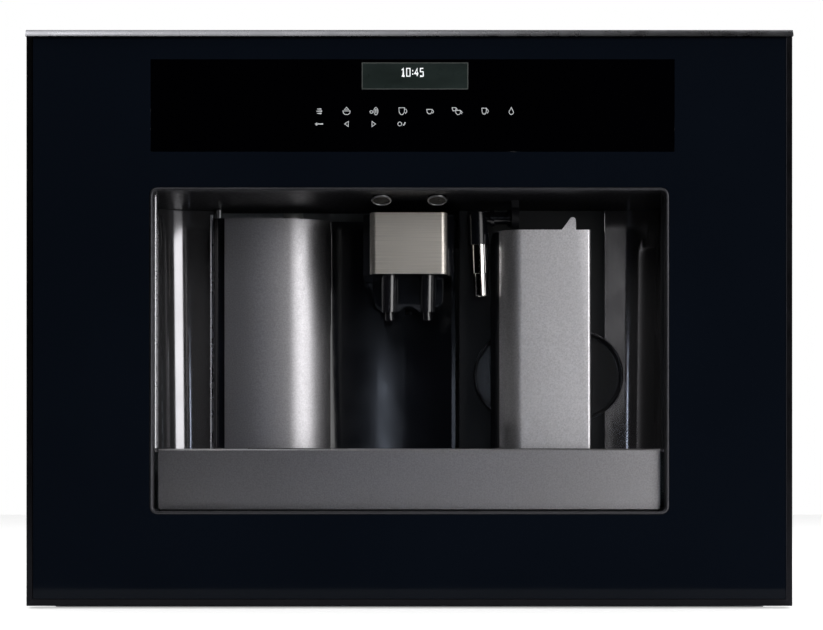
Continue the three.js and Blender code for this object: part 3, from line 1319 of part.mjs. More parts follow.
function beanHopper() {
  const y = at(HOPPER_DEPTH);
  const straight = [HOPPER_TOP - HOPPER_STRAIGHT, HOPPER_TOP];
  const layers = (inset, low, high) => [
    block(
      [HOPPER_X - HOPPER_WIDTH / 2 + inset, HOPPER_X + HOPPER_WIDTH / 2 - inset],
      [y - HOPPER_LENGTH / 2 + inset, y + HOPPER_LENGTH / 2 - inset],
      [straight[0], high],
    ),
    tapered(
      [HOPPER_X, y, HOPPER_NECK - 2 * inset, HOPPER_NECK - 2 * inset, low],
      [HOPPER_X, y, HOPPER_WIDTH - 2 * inset, HOPPER_LENGTH - 2 * inset, straight[0]],
    ),
  ];
  const outer = join(...layers(0, HOPPER_NECK_HEIGHT, HOPPER_TOP));
  const inner = join(...layers(PLASTIC, HOPPER_NECK_HEIGHT, HOPPER_TOP + 1));
  const mouth = HOPPER_NECK / 2 - PLASTIC;
  const outlet = block([HOPPER_X - mouth, HOPPER_X + mouth], [y - mouth, y + mouth], [
    HOPPER_NECK_HEIGHT - 1,
    HOPPER_NECK_HEIGHT + 1,
  ]);
  return cut(outer, inner, outlet);
}

function grinderHousing() {
  const centre = [HOPPER_X, at(HOPPER_DEPTH)];
  const body = rod("z", centre, GRINDER_RADIUS, GRINDER_BOTTOM, GRINDER_TOP);
  const chamber = rod("z", centre, GRINDER_BORE, GRINDER_BED, GRINDER_TOP + 1);
  const shaftHole = rod("z", centre, BURR_SHAFT + RUNNING_GAP, GRINDER_BOTTOM - 1, GRINDER_BED + 1, 16);
  const chuteY = at(FUNNEL_DEPTH);
  const tubeEdge = BREW_X + FUNNEL_TUBE_RADIUS + GAP;
  const z = [GRINDER_BOTTOM, GRINDER_BOTTOM + GRINDER_CHUTE];
  const chute = block([tubeEdge, HOPPER_X], [chuteY - GRINDER_CHUTE / 2, chuteY + GRINDER_CHUTE / 2], z);
  const elbow = block(
    [HOPPER_X - GRINDER_CHUTE / 2, HOPPER_X + GRINDER_CHUTE / 2],
    [chuteY - GRINDER_CHUTE / 2, at(HOPPER_DEPTH) - GRINDER_BORE - PLASTIC],
    z,
  );
  return join(cut(body, chamber, shaftHole), chute, elbow);
}

function grinderBurr() {
  const centre = [HOPPER_X, at(HOPPER_DEPTH)];
  const low = GRINDER_BED + RUNNING_GAP;
  const root = GRINDER_BORE - BURR_TOOTH - RUNNING_GAP;
  const teeth = Array.from({ length: 2 * BURR_TEETH }, (_, i) => {
    const angle = (i * Math.PI) / BURR_TEETH;
    const radius = i % 2 ? root : root + BURR_TOOTH;
    return [centre[0] + radius * Math.cos(angle), centre[1] + radius * Math.sin(angle)];
  });
  const ring = pushed(outlineOf(teeth), "z", low, low + BURR_HEIGHT);
  const shaft = rod("z", centre, BURR_SHAFT, GRINDER_BOTTOM - BURR_SHAFT_LENGTH + GRINDER_FLOOR, low + 1, 16);
  return join(ring, shaft);
}

function grinderMotor() {
  const centre = [HOPPER_X, at(HOPPER_DEPTH)];
  const body = rod("z", centre, MOTOR_RADIUS, MOTOR_TOP - MOTOR_HEIGHT, MOTOR_TOP);
  const shaftEnd = GRINDER_BOTTOM - BURR_SHAFT_LENGTH + GRINDER_FLOOR;
  return cut(body, rod("z", centre, BURR_SHAFT + RUNNING_GAP, shaftEnd - RUNNING_GAP, MOTOR_TOP + 1, 16));
}

function funnelChute() {
  const bottom = BREW_HIGH_ARM + BREW_ARM + GAP;
  const coneFoot = HOPPER_TOP - FUNNEL_CONE_HEIGHT;
  return turned(
    [BREW_X, at(FUNNEL_DEPTH)],
    [
      [FUNNEL_TUBE_RADIUS, bottom],
      [FUNNEL_TUBE_RADIUS, coneFoot],
      [FUNNEL_TOP_RADIUS, HOPPER_TOP],
      [FUNNEL_TOP_RADIUS - FUNNEL_WALL, HOPPER_TOP],
      [FUNNEL_TUBE_RADIUS - FUNNEL_WALL, coneFoot],
      [FUNNEL_TUBE_RADIUS - FUNNEL_WALL, bottom],
      [FUNNEL_TUBE_RADIUS, bottom],
    ],
    24,
  );
}

function brewFrame() {
  const x = [BREW_X - BREW_WIDTH / 2, BREW_X + BREW_WIDTH / 2];
  const back = block(x, [at(BREW_BACK_DEPTH), at(BREW_BACK_DEPTH + BREW_BACK)], [
    CASING_FLOOR + GAP,
    BREW_HIGH_ARM + BREW_ARM,
  ]);
  const armY = [at(BREW_DEPTH) - BREW_RADIUS - 2 * PLASTIC, at(BREW_BACK_DEPTH) + 1];
  const arm = (z) => block(x, armY, [z, z + BREW_ARM]);
  const centre = [BREW_X, at(BREW_DEPTH)];
  const cylinder = rod("z", centre, BREW_RADIUS, BREW_LOW_ARM, BREW_CYLINDER_TOP);
  const bore = rod("z", centre, BREW_BORE, BREW_LOW_ARM + BREW_ARM, BREW_CYLINDER_TOP + 1);
  const outlet = rod("z", centre, BURR_SHAFT, BREW_LOW_ARM - 1, BREW_LOW_ARM + BREW_ARM + 1, 16);
  const rodHole = rod("z", centre, PISTON_ROD + RUNNING_GAP, BREW_HIGH_ARM - 1, BREW_HIGH_ARM + BREW_ARM + 1, 20);
  const funnelHole = rod(
    "z",
    [BREW_X, at(FUNNEL_DEPTH)],
    FUNNEL_TUBE_RADIUS - FUNNEL_WALL,
    BREW_HIGH_ARM - 1,
    BREW_HIGH_ARM + BREW_ARM + 1,
    20,
  );
  return cut(join(back, arm(BREW_LOW_ARM), arm(BREW_HIGH_ARM), cylinder), bore, outlet, rodHole, funnelHole);
}

function brewPiston() {
  const centre = [BREW_X, at(BREW_DEPTH)];
  const low = BREW_CYLINDER_TOP + PISTON_REST_LIFT;
  const head = rod("z", centre, BREW_BORE - RUNNING_GAP, low, low + PISTON_HEIGHT);
  return join(head, rod("z", centre, PISTON_ROD, low + 1, PISTON_ROD_TOP, 20));
}

add("bean_hopper", FINISHES.clear, beanHopper());
add("grinder_housing", FINISHES.blackMatte, grinderHousing());
add("grinder_burr", FINISHES.steel, grinderBurr());
add("grinder_motor", FINISHES.steel, grinderMotor());
add("funnel_chute", FINISHES.blackMatte, funnelChute());
add("brew_frame", FINISHES.blackMatte, brewFrame());
add("brew_piston", FINISHES.whitePlastic, brewPiston());

// ---------------------------------------------------------------- water and heat

function thermoblock() {
  const x = [THERMOBLOCK_X - THERMOBLOCK_WIDTH / 2, THERMOBLOCK_X + THERMOBLOCK_WIDTH / 2];
  const rear = CASING_REAR - SHEET - GAP;
  const z = [THERMOBLOCK_BOTTOM, THERMOBLOCK_BOTTOM + THERMOBLOCK_HEIGHT];
  const body = block(x, [rear - THERMOBLOCK_LENGTH + FIN_HEIGHT, rear], z);
  const pitch = THERMOBLOCK_HEIGHT / THERMOBLOCK_FINS;
  const fins = slotRow(THERMOBLOCK_FINS, (i) => [
    [x[0] + FIN_HEIGHT, x[1] - FIN_HEIGHT],
    [rear - THERMOBLOCK_LENGTH, rear - THERMOBLOCK_LENGTH + FIN_HEIGHT + 1],
    [z[0] + pitch * (i + 0.3), z[0] + pitch * (i + 0.7)],
  ]);
  return join(body, ...fins);
}

function waterPump() {
  const y = at(PUMP_DEPTH);
  const z = CASING_FLOOR + GAP + PUMP_FOOT + PUMP_RADIUS;
  const x = [PUMP_X, PUMP_X + PUMP_LENGTH];
  const body = rod("x", [y, z], PUMP_RADIUS, ...x, 24);
  const foot = block([x[0] + PUMP_FOOT, x[1] - PUMP_FOOT], [y - PUMP_RADIUS, y + PUMP_RADIUS], [
    CASING_FLOOR + GAP,
    z - PUMP_RADIUS / 2,
  ]);
  const outlet = rod("x", [y, z], PUMP_FOOT, x[1] - 1, x[1] + 2 * PUMP_FOOT, 16);
  return join(body, foot, outlet);
}

function waterTank() {
  const outer = block(TANK_X, TANK_Y, [TANK_BOTTOM, TANK_TOP]);
  const inner = block(
    [TANK_X[0] + PLASTIC, TANK_X[1] - PLASTIC],
    [TANK_Y[0] + PLASTIC, TANK_Y[1] - PLASTIC],
    [TANK_BOTTOM + PLASTIC, TANK_TOP + 1],
  );
  return cut(outer, inner);
}

function tankLid() {
  const cap = block(TANK_X, TANK_Y, [TANK_TOP + GAP, TANK_TOP + GAP + TANK_LID]);
  const inset = 2 * PLASTIC;
  const plug = block(
    [TANK_X[0] + inset, TANK_X[1] - inset],
    [TANK_Y[0] + inset, TANK_Y[1] - inset],
    [TANK_TOP - inset, TANK_TOP + 1],
  );
  return join(cap, plug);
}

add("thermoblock", FINISHES.steel, thermoblock());
add("water_pump", FINISHES.steel, waterPump());
add("water_tank", FINISHES.clear, waterTank());
add("tank_lid", FINISHES.blackMatte, tankLid());

// ---------------------------------------------------------------- lids and knob on the top cover

const BEAN_LID_REAR = at(HOPPER_DEPTH) + HOPPER_LENGTH / 2 + HOPPER_RIM;

function beanLid() {
  const half = HOPPER_WIDTH / 2 + HOPPER_RIM;
  return block(
    [HOPPER_X - half, HOPPER_X + half],
    [at(HOPPER_DEPTH) - HOPPER_LENGTH / 2 - HOPPER_RIM, BEAN_LID_REAR],
    [LID_BOTTOM, LID_BOTTOM + LID],
  );
}

function funnelLid() {
  const y = at(FUNNEL_DEPTH);
  return block(
    [BREW_X - FUNNEL_LID / 2, BREW_X + FUNNEL_LID / 2],
    [y - FUNNEL_LID / 2, y + FUNNEL_LID / 2],
    [LID_BOTTOM, LID_BOTTOM + LID],
  );
}

function grindKnob() {
  const centre = [KNOB_X, at(KNOB_DEPTH)];
  const rim = Array.from({ length: 2 * KNOB_RIBS }, (_, i) => {
    const angle = (i * Math.PI) / KNOB_RIBS;
    const radius = i % 2 ? KNOB_RADIUS : KNOB_RADIUS - 1;
    return [centre[0] + radius * Math.cos(angle), centre[1] + radius * Math.sin(angle)];
  });
  const grip = pushed(outlineOf(rim), "z", LID_BOTTOM, LID_BOTTOM + KNOB_HEIGHT);
  return join(grip, rod("z", centre, KNOB_SHAFT, CASING_TOP - KNOB_SHAFT_LENGTH, LID_BOTTOM + 1, 16));
}

add("bean_lid", FINISHES.blackMatte, beanLid());
add("funnel_lid", FINISHES.blackMatte, funnelLid());
add("grind_knob", FINISHES.blackMatte, grindKnob());

export default part;
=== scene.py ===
import math

import bmesh
import bpy
from mathutils import Matrix, Vector


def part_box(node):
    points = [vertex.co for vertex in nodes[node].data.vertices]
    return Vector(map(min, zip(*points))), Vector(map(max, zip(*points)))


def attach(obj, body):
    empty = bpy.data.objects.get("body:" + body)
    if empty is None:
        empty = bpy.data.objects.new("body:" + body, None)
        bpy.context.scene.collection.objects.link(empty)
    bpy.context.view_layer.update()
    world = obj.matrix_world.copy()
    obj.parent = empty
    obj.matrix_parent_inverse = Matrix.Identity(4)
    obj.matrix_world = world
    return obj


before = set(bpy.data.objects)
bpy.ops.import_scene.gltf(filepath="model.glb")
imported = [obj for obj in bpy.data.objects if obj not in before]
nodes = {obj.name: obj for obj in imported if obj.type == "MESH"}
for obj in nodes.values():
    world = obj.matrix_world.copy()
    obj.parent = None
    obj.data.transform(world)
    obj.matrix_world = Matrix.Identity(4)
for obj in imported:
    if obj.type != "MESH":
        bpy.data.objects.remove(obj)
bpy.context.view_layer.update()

FRONT = -0.2  # y of the fascia's front
MM = 0.001


# ---------------------------------------------------------------- materials

NOISE_LOW, NOISE_HIGH = 0.3, 0.7  # the range that most of a noise lies in


def linear(red, green, blue):
    """The linear colour of three 8-bit display values."""
    return tuple(
        c / 3294.6 if c <= 10 else ((c / 255 + 0.055) / 1.055) ** 2.4 for c in (red, green, blue)
    ) + (1.0,)


class Surface:
    """A Principled material under construction; positions are in the piece's own space, in metres."""

    def __init__(self, name, color, roughness, metallic=0.0):
        self.material = bpy.data.materials.new(name)
        self.material.use_nodes = True
        self.tree = self.material.node_tree
        self.shader = self.tree.nodes["Principled BSDF"]
        self.color = color
        self.roughness = roughness
        self.set("Base Color", color)
        self.set("Roughness", roughness)
        self.set("Metallic", metallic)
        self.place = self.add("ShaderNodeTexCoord").outputs["Object"]
        self.normal = None

    def add(self, kind, **settings):
        """A new node of the material's tree."""
        node = self.tree.nodes.new(kind)
        for key, value in settings.items():
            setattr(node, key, value)
        return node

    def link(self, source, target):
        self.tree.links.new(source, target)

    def set(self, socket, value):
        """Sets a value on the shader's own socket."""
        self.shader.inputs[socket].default_value = value
        return self

    def noise(self, scale, detail=3.0):
        """A noise value; scale gives cycles per metre along X, Y and Z."""
        mapping = self.add("ShaderNodeMapping")
        mapping.inputs["Scale"].default_value = scale
        self.link(self.place, mapping.inputs["Vector"])
        noise = self.add("ShaderNodeTexNoise")
        noise.inputs["Scale"].default_value = 1.0
        noise.inputs["Detail"].default_value = detail
        self.link(mapping.outputs["Vector"], noise.inputs["Vector"])
        return noise.outputs["Fac"]

    def spread(self, value, low, high):
        """The value's middle range stretched to low..high."""
        ramp = self.add("ShaderNodeMapRange")
        ramp.inputs["From Min"].default_value = NOISE_LOW
        ramp.inputs["From Max"].default_value = NOISE_HIGH
        ramp.inputs["To Min"].default_value = low
        ramp.inputs["To Max"].default_value = high
        self.link(value, ramp.inputs["Value"])
        return ramp.outputs["Result"]

    def rough(self, scale, amount, detail=3.0):
        """Roughness that varies by the amount both ways."""
        low = max(self.roughness - amount, 0.01)
        high = min(self.roughness + amount, 1.0)
        self.link(self.spread(self.noise(scale, detail), low, high), self.shader.inputs["Roughness"])
        return self

    def tint(self, scale, amount, detail=3.0):
        """Colour that varies in brightness by the amount both ways."""
        mix = self.add("ShaderNodeMix", data_type="RGBA")
        darker = [c * (1 - amount) for c in self.color[:3]] + [1.0]
        lighter = [min(c * (1 + amount), 1.0) for c in self.color[:3]] + [1.0]
        mix.inputs["A"].default_value = darker
        mix.inputs["B"].default_value = lighter
        self.link(self.spread(self.noise(scale, detail), 0.0, 1.0), mix.inputs["Factor"])
        self.link(mix.outputs["Result"], self.shader.inputs["Base Color"])
        return self

    def bump(self, scale, depth, detail=3.0):
        """Relief of the given depth in metres; several add up."""
        node = self.add("ShaderNodeBump")
        node.inputs["Distance"].default_value = depth
        self.link(self.noise(scale, detail), node.inputs["Height"])
        if self.normal is not None:
            self.link(self.normal, node.inputs["Normal"])
        self.normal = node.outputs["Normal"]
        self.link(self.normal, self.shader.inputs["Normal"])
        return self


def even(value):
    """The same scale along all three axes."""
    return (value, value, value)


def make_materials():
    """One material for each finish of the object."""
    found = {}

    def keep(name, surface):
        found[name] = surface.material

    glass = Surface("black_glass", linear(9, 13, 20), 0.05)
    glass.set("Specular IOR Level", 0.08)
    keep("black_glass", glass.tint(even(9), 0.06).rough(even(30), 0.015).bump(even(7), 0.00004))

    control = Surface("control_glass", linear(1, 1, 2), 0.04)
    control.set("Specular IOR Level", 0.1)
    keep("control_glass", control.tint(even(12), 0.2).rough(even(30), 0.01).bump(even(8), 0.00003))

    gloss = Surface("black_gloss", linear(9, 10, 14), 0.16)
    keep("black_gloss", gloss.tint(even(20), 0.15).rough(even(60), 0.03).bump(even(1500), 0.000004))

    wall = Surface("dark_wall", linear(140, 139, 142), 0.12, 0.9)
    keep("dark_wall", wall.tint(even(20), 0.06).rough(even(60), 0.02).bump(even(1500), 0.000003))

    shell = Surface("smoked_gloss", linear(9, 10, 14), 0.13)
    keep("smoked_gloss", shell.tint(even(25), 0.2).rough(even(60), 0.03).bump((60, 60, 4), 0.00004))

    matte = Surface("black_matte", linear(22, 23, 27), 0.55)
    keep("black_matte", matte.tint(even(40), 0.1).rough(even(300), 0.08).bump(even(1600), 0.00003))

    ceiling = Surface("ceiling_plastic", linear(20, 20, 23), 0.42)
    ceiling.set("Specular IOR Level", 0.22)
    keep("ceiling_plastic", ceiling.tint(even(40), 0.1).rough(even(300), 0.06).bump(even(1600), 0.00002))

    soft = Surface("black_soft", linear(12, 13, 16), 0.34)
    keep("black_soft", soft.tint(even(25), 0.15).rough(even(60), 0.04).bump(even(1500), 0.000006))

    nozzle = Surface("nozzle_gloss", linear(14, 14, 17), 0.2)
    nozzle.set("Specular IOR Level", 1.0)
    keep("nozzle_gloss", nozzle.tint(even(60), 0.15).rough(even(120), 0.03).bump(even(1500), 0.000004))

    lens = Surface("lamp_lens", linear(6, 6, 8), 0.3)
    lens.set("Specular IOR Level", 0.15)
    keep("lamp_lens", lens.tint(even(80), 0.3).rough(even(200), 0.04))

    # The trim metal comes in a light copy for the top strip, a painted highlight, and a dark copy for the
    # rest of the frame, painted shade.
    # wall_lip is a brighter metal than the bay walls: a painted highlight on the left lip and on the left
    # wall's bead.
    finishes = (("trim", 132, 0.28), ("shaded_trim", 38, 0.34), ("bezel", 80, 0.5), ("wall_lip", 186, 0.28))
    for name, level, roughness in finishes:
        trim = Surface(name, linear(level, level, level + 4), roughness, 1.0)
        keep(name, trim.tint(even(25), 0.06).rough(even(80), 0.04).bump(even(2500), 0.000003))

    for name, level, roughness in (("satin_grey", 172, 0.36), ("satin_light", 222, 0.4)):
        satin = Surface(name, linear(level, level - 2, level + 1), roughness, 1.0)
        satin.tint(even(900), 0.14, 2.0).rough(even(500), 0.05)
        keep(name, satin.bump(even(1300), 0.000022, detail=2.0))

    brushed = Surface("brushed", linear(220, 214, 206), 0.45, 1.0)
    brushed.tint((14, 900, 2600), 0.14).rough((12, 700, 2200), 0.08)
    keep("brushed", brushed.bump((20, 1500, 4200), 0.000012))

    chrome = Surface("chrome", linear(224, 222, 219), 0.1, 1.0)
    keep("chrome", chrome.tint(even(30), 0.04).rough(even(90), 0.03).bump(even(700), 0.000002))

    steel = Surface("steel", linear(160, 161, 164), 0.33, 1.0)
    keep("steel", steel.tint((200, 15, 15), 0.1).rough((300, 20, 20), 0.07).bump((1800, 40, 40), 0.000006))

    cast = Surface("aluminium", linear(178, 179, 182), 0.5, 1.0)
    keep("aluminium", cast.tint(even(60), 0.08).rough(even(200), 0.1).bump(even(900), 0.00004))

    zinc = Surface("galvanised", linear(176, 180, 184), 0.42, 0.85)
    keep("galvanised", zinc.tint(even(90), 0.1, 1.0).rough(even(120), 0.1, 1.0).bump(even(60), 0.00002))

    clear = Surface("clear_plastic", linear(196, 204, 208), 0.12)
    clear.set("Transmission Weight", 0.85).set("IOR", 1.45)
    keep("clear_plastic", clear.tint(even(30), 0.05).rough(even(80), 0.04).bump(even(40), 0.00003))

    board = Surface("board", linear(28, 72, 44), 0.5)
    keep("board", board.tint((80, 80, 80), 0.4).rough(even(200), 0.1).bump(even(400), 0.00003))

    white = Surface("white_plastic", linear(214, 214, 210), 0.45)
    keep("white_plastic", white.tint(even(30), 0.03).rough(even(300), 0.06).bump(even(1200), 0.00002))

    # Grey of the dial pointer; on the door shell's edge strip the same grey is a painted highlight.
    grey = Surface("pointer_grey_and_highlight", linear(104, 105, 112), 0.42)
    keep("pointer_grey_and_highlight", grey.tint(even(50), 0.1).rough(even(200), 0.06).bump(even(1200), 0.00001))

    rubber = Surface("rubber", linear(20, 20, 21), 0.8)
    keep("rubber", rubber.tint(even(60), 0.15).rough(even(300), 0.08).bump(even(900), 0.00005))

    # Pale print that also glows a little: the glow is painted light, on the key symbols, the tank lines and
    # the knob pointer.
    print_white = Surface("pale_print_with_glow", linear(168, 170, 172), 0.5)
    print_white.set("Emission Color", linear(168, 170, 172)).set("Emission Strength", 0.35)
    keep("pale_print_with_glow", print_white.tint(even(300), 0.12).rough(even(500), 0.05))

    bright = Surface("bright_print", linear(214, 216, 218), 0.5)
    bright.set("Emission Color", linear(214, 216, 218)).set("Emission Strength", 0.7)
    keep("bright_print", bright.tint(even(300), 0.08).rough(even(500), 0.05))

    display = Surface("display", linear(22, 28, 27), 0.3)
    display.set("Specular IOR Level", 0.1)
    display.set("Emission Color", linear(22, 29, 27)).set("Emission Strength", 0.6)
    keep("display", display.tint((18, 18, 60), 0.5).rough(even(100), 0.04))

    display_edge = Surface("display_edge", linear(62, 66, 64), 0.4)
    keep("display_edge", display_edge.tint(even(60), 0.2).rough(even(100), 0.04))
    return found


MATERIALS = make_materials()

NODE_FINISHES = {  # material: nodes
    "black_glass": ["fascia_glass"],
    "control_glass": ["control_glass"],
    # The frame's darker copy of the trim metal is painted shade.
    "shaded_trim": ["fascia_frame"],
    "bezel": ["bay_bezel"],
    "black_soft": ["milk_bay_back"],
    "nozzle_gloss": ["spout_nozzles", "grip_cup"],
    "lamp_lens": ["lamp_left", "lamp_right"],
    "black_gloss": ["milk_elbow", "froth_dial"],
    "dark_wall": ["bay_wall_left", "bay_wall_right"],
    "smoked_gloss": ["door_shell", "spout_housing"],
    "black_matte": [
        "display_module", "bay_floor", "drip_basin", "grounds_bin", "milk_lid", "bean_lid", "funnel_lid",
        "grind_knob", "tank_lid", "power_inlet", "main_switch", "brew_frame", "grinder_housing",
    ],
    "ceiling_plastic": ["bay_ceiling"],
    "satin_grey": ["door_front_skin", "tray_front"],
    "satin_light": ["milk_jug_cover"],
    "brushed": ["spout_front_plate"],
    "chrome": ["milk_sleeve", "milk_nozzle"],
    "steel": [
        "door_hinge_pin", "tray_grille", "grinder_motor", "water_pump", "grinder_burr",
        "middle_rail_left", "middle_rail_right",
    ],
    "galvanised": [
        "cradle_plate", "fixed_rail_left", "fixed_rail_right", "inner_rail_left", "inner_rail_right",
        "chassis_base", "side_panel_left", "side_panel_right", "rear_panel", "top_cover",
    ],
    "aluminium": ["thermoblock"],
    "clear_plastic": ["milk_jug", "water_tank", "bean_hopper"],
    "board": ["control_board"],
    "white_plastic": ["tray_float", "brew_piston", "funnel_chute"],
}


SHARP_ANGLE = math.radians(35)
BEVEL_ANGLE = math.radians(32)
WELD_DISTANCE = 0.001 * MM


def node_group(name, steps):
    """A geometry node group; steps(tree, geometry) returns the geometry that comes out."""
    tree = bpy.data.node_groups.new(name, "GeometryNodeTree")
    tree.interface.new_socket("Geometry", in_out="INPUT", socket_type="NodeSocketGeometry")
    tree.interface.new_socket("Geometry", in_out="OUTPUT", socket_type="NodeSocketGeometry")
    start = tree.nodes.new("NodeGroupInput")
    end = tree.nodes.new("NodeGroupOutput")
    tree.links.new(steps(tree, start.outputs["Geometry"]), end.inputs["Geometry"])
    return tree


def weld_steps(tree, geometry):
    """Joins the loose triangles of an imported node and drops their flat normals."""
    merge = tree.nodes.new("GeometryNodeMergeByDistance")
    merge.inputs["Distance"].default_value = WELD_DISTANCE
    drop = tree.nodes.new("GeometryNodeRemoveAttribute")
    drop.inputs["Name"].default_value = "custom_normal"
    tree.links.new(geometry, merge.inputs["Geometry"])
    tree.links.new(merge.outputs["Geometry"], drop.inputs["Geometry"])
    return drop.outputs["Geometry"]


def smooth_steps(tree, geometry):
    """Smooth shading, with edges beyond SHARP_ANGLE kept sharp."""
    angle = tree.nodes.new("GeometryNodeInputMeshEdgeAngle")
    sharp = tree.nodes.new("FunctionNodeCompare")
    sharp.operation = "GREATER_THAN"
    sharp.inputs["B"].default_value = SHARP_ANGLE
    faces = tree.nodes.new("GeometryNodeSetShadeSmooth")
    faces.domain = "FACE"
    edges = tree.nodes.new("GeometryNodeSetShadeSmooth")
    edges.domain = "EDGE"
    edges.inputs["Shade Smooth"].default_value = False
    tree.links.new(angle.outputs["Unsigned Angle"], sharp.inputs["A"])
    tree.links.new(geometry, faces.inputs["Geometry"])
    tree.links.new(faces.outputs["Geometry"], edges.inputs["Geometry"])
    tree.links.new(sharp.outputs["Result"], edges.inputs["Selection"])
    return edges.outputs["Geometry"]


WELD = node_group("weld", weld_steps)
SMOOTH = node_group("smooth", smooth_steps)


def bevelled(piece, width, imported=False):
    """Rounds the piece's edges; an imported node is welded first."""
    if imported:
        piece.modifiers.new("weld", "NODES").node_group = WELD
    if width:
        edge = piece.modifiers.new("edge", "BEVEL")
        edge.width = width
        edge.segments = 2
        edge.limit_method = "ANGLE"
        edge.angle_limit = BEVEL_ANGLE
    piece.modifiers.new("smooth", "NODES").node_group = SMOOTH
    flatten = piece.modifiers.new("flatten", "WEIGHTED_NORMAL")
    flatten.keep_sharp = True
    return piece


EDGE_WIDTHS = {  # bevel width in metres: nodes
    0.0: ["fascia_glass", "control_glass", "bay_ceiling"],
    0.0002: [
        "side_panel_left", "side_panel_right", "rear_panel", "top_cover", "chassis_base", "cradle_plate",
        "fixed_rail_left", "fixed_rail_right", "middle_rail_left", "middle_rail_right", "inner_rail_left",
        "inner_rail_right", "control_board", "bay_bezel", "door_front_skin", "grinder_burr", "tray_grille",
        "milk_nozzle", "milk_sleeve", "lamp_left", "lamp_right",
    ],
    0.0008: ["bay_wall_left", "bay_wall_right", "milk_bay_back"],
    0.0009: ["grip_cup"],
    0.001: [
        "spout_housing", "grinder_housing", "grounds_bin", "water_tank", "tank_lid", "bean_lid", "funnel_lid",
    ],
}
USUAL_EDGE = 0.0005


def finish_nodes():
    """Gives every node its material and its rounded edges."""
    for name, members in NODE_FINISHES.items():
        for member in members:
            piece = nodes[member]
            piece.data.materials.clear()
            piece.data.materials.append(MATERIALS[name])
    widths = {member: width for width, members in EDGE_WIDTHS.items() for member in members}
    for name, piece in nodes.items():
        bevelled(piece, widths.get(name, USUAL_EDGE), imported=True)
    missing = set(nodes) - {member for members in NODE_FINISHES.values() for member in members}
    assert not missing, f"no finish for {sorted(missing)}"


finish_nodes()

# ---------------------------------------------------------------- shapes for the added pieces


def piece_of(name, build, body, material, edge=0.0):
    """An object from a bmesh, riding on a body; edge rounds its corners."""
    bmesh.ops.recalc_face_normals(build, faces=build.faces)
    mesh = bpy.data.meshes.new(name)
    build.to_mesh(mesh)
    build.free()
    piece = bpy.data.objects.new(name, mesh)
    bpy.context.scene.collection.objects.link(piece)
    mesh.materials.append(MATERIALS[material])
    bevelled(piece, edge)
    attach(piece, body)
    return piece


def prism(build, loop, low, high):
    """Adds a closed loop, given as points of the lower face, pushed by the vector high - low."""
    push = Vector(high) - Vector(low)
    lower = [build.verts.new(Vector(point)) for point in loop]
    upper = [build.verts.new(Vector(point) + push) for point in loop]
    build.faces.new(lower)
    build.faces.new(list(reversed(upper)))
    for i, corner in enumerate(lower):
        after = (i + 1) % len(lower)
        build.faces.new([corner, upper[i], upper[after], lower[after]])


def ribbon(build, path, width, y, thickness, closed=False):
    """Adds a flat line drawn in X and Z on a face that looks to the front."""
    points = [Vector((x, z)) for x, z in path]
    count = len(points)
    left, right = [], []
    for i, point in enumerate(points):
        before = points[i - 1] if i or closed else point
        after = points[(i + 1) % count] if i < count - 1 or closed else point
        ahead = (after - point).normalized() if after != point else Vector((0, 0))
        behind = (point - before).normalized() if before != point else Vector((0, 0))
        along = (ahead + behind).normalized()
        reach = width / 2 / max(along.dot(ahead or behind), 0.5)
        across = Vector((-along.y, along.x)) * reach
        left.append(point + across)
        right.append(point - across)
    for i in range(count if closed else count - 1):
        after = (i + 1) % count
        corners = [left[i], left[after], right[after], right[i]]
        prism(build, [(c.x, y, c.y) for c in corners], (0, 0, 0), (0, -thickness, 0))


def arc(centre, radius, start, end, steps=10, squash=1.0):
    """Points of an arc in two dimensions; angles in degrees."""
    angles = [math.radians(start + (end - start) * i / steps) for i in range(steps + 1)]
    return [(centre[0] + radius * math.cos(a), centre[1] + radius * squash * math.sin(a)) for a in angles]


def lathed(build, profile, centre, axis, steps=24):
    """Adds a turned form; profile points are (radius, height) along the axis from the centre.

    A radius may also be a list with one value for each step, for a recess or a grip.
    """
    turn = Vector((0, 0, 1)).rotation_difference(Vector(axis)).to_matrix()
    rings = []
    for radius, height in profile:
        if radius == 0:
            rings.append([build.verts.new(Vector(centre) + turn @ Vector((0, 0, height)))])
            continue
        radii = radius if isinstance(radius, list) else [radius] * steps
        angles = [2 * math.pi * i / steps for i in range(steps)]
        ring = [Vector((r * math.cos(a), r * math.sin(a), height)) for r, a in zip(radii, angles)]
        rings.append([build.verts.new(Vector(centre) + turn @ point) for point in ring])
    for lower, upper in zip(rings, rings[1:]):
        for i in range(steps):
            after = (i + 1) % steps
            corners = [lower[i % len(lower)], lower[after % len(lower)]]
            corners += [upper[after % len(upper)], upper[i % len(upper)]]
            build.faces.new(list(dict.fromkeys(corners)))


# ---------------------------------------------------------------- touch panel and display


PIXEL = 0.774 * MM  # one pixel of the photograph on the fascia's plane
CENTRE_PIXEL, TOP_PIXEL = 408.1, 30  # the fascia's middle column and top row in the photograph
FASCIA_TOP = 448 * MM
PRINT_WIDTH = 0.55 * MM
PRINT_DEPTH = 0.06 * MM
WINDOW_RISE = 0.02 * MM  # how far the display stands in front of the control glass
PANEL_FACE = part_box("control_glass")[0].y


def panel_x(pixel):
    """The X on the fascia's plane of a column of the photograph."""
    return (pixel - CENTRE_PIXEL) * PIXEL


def panel_z(pixel):
    """The Z on the fascia's plane of a row of the photograph."""
    return FASCIA_TOP - (pixel - TOP_PIXEL) * PIXEL


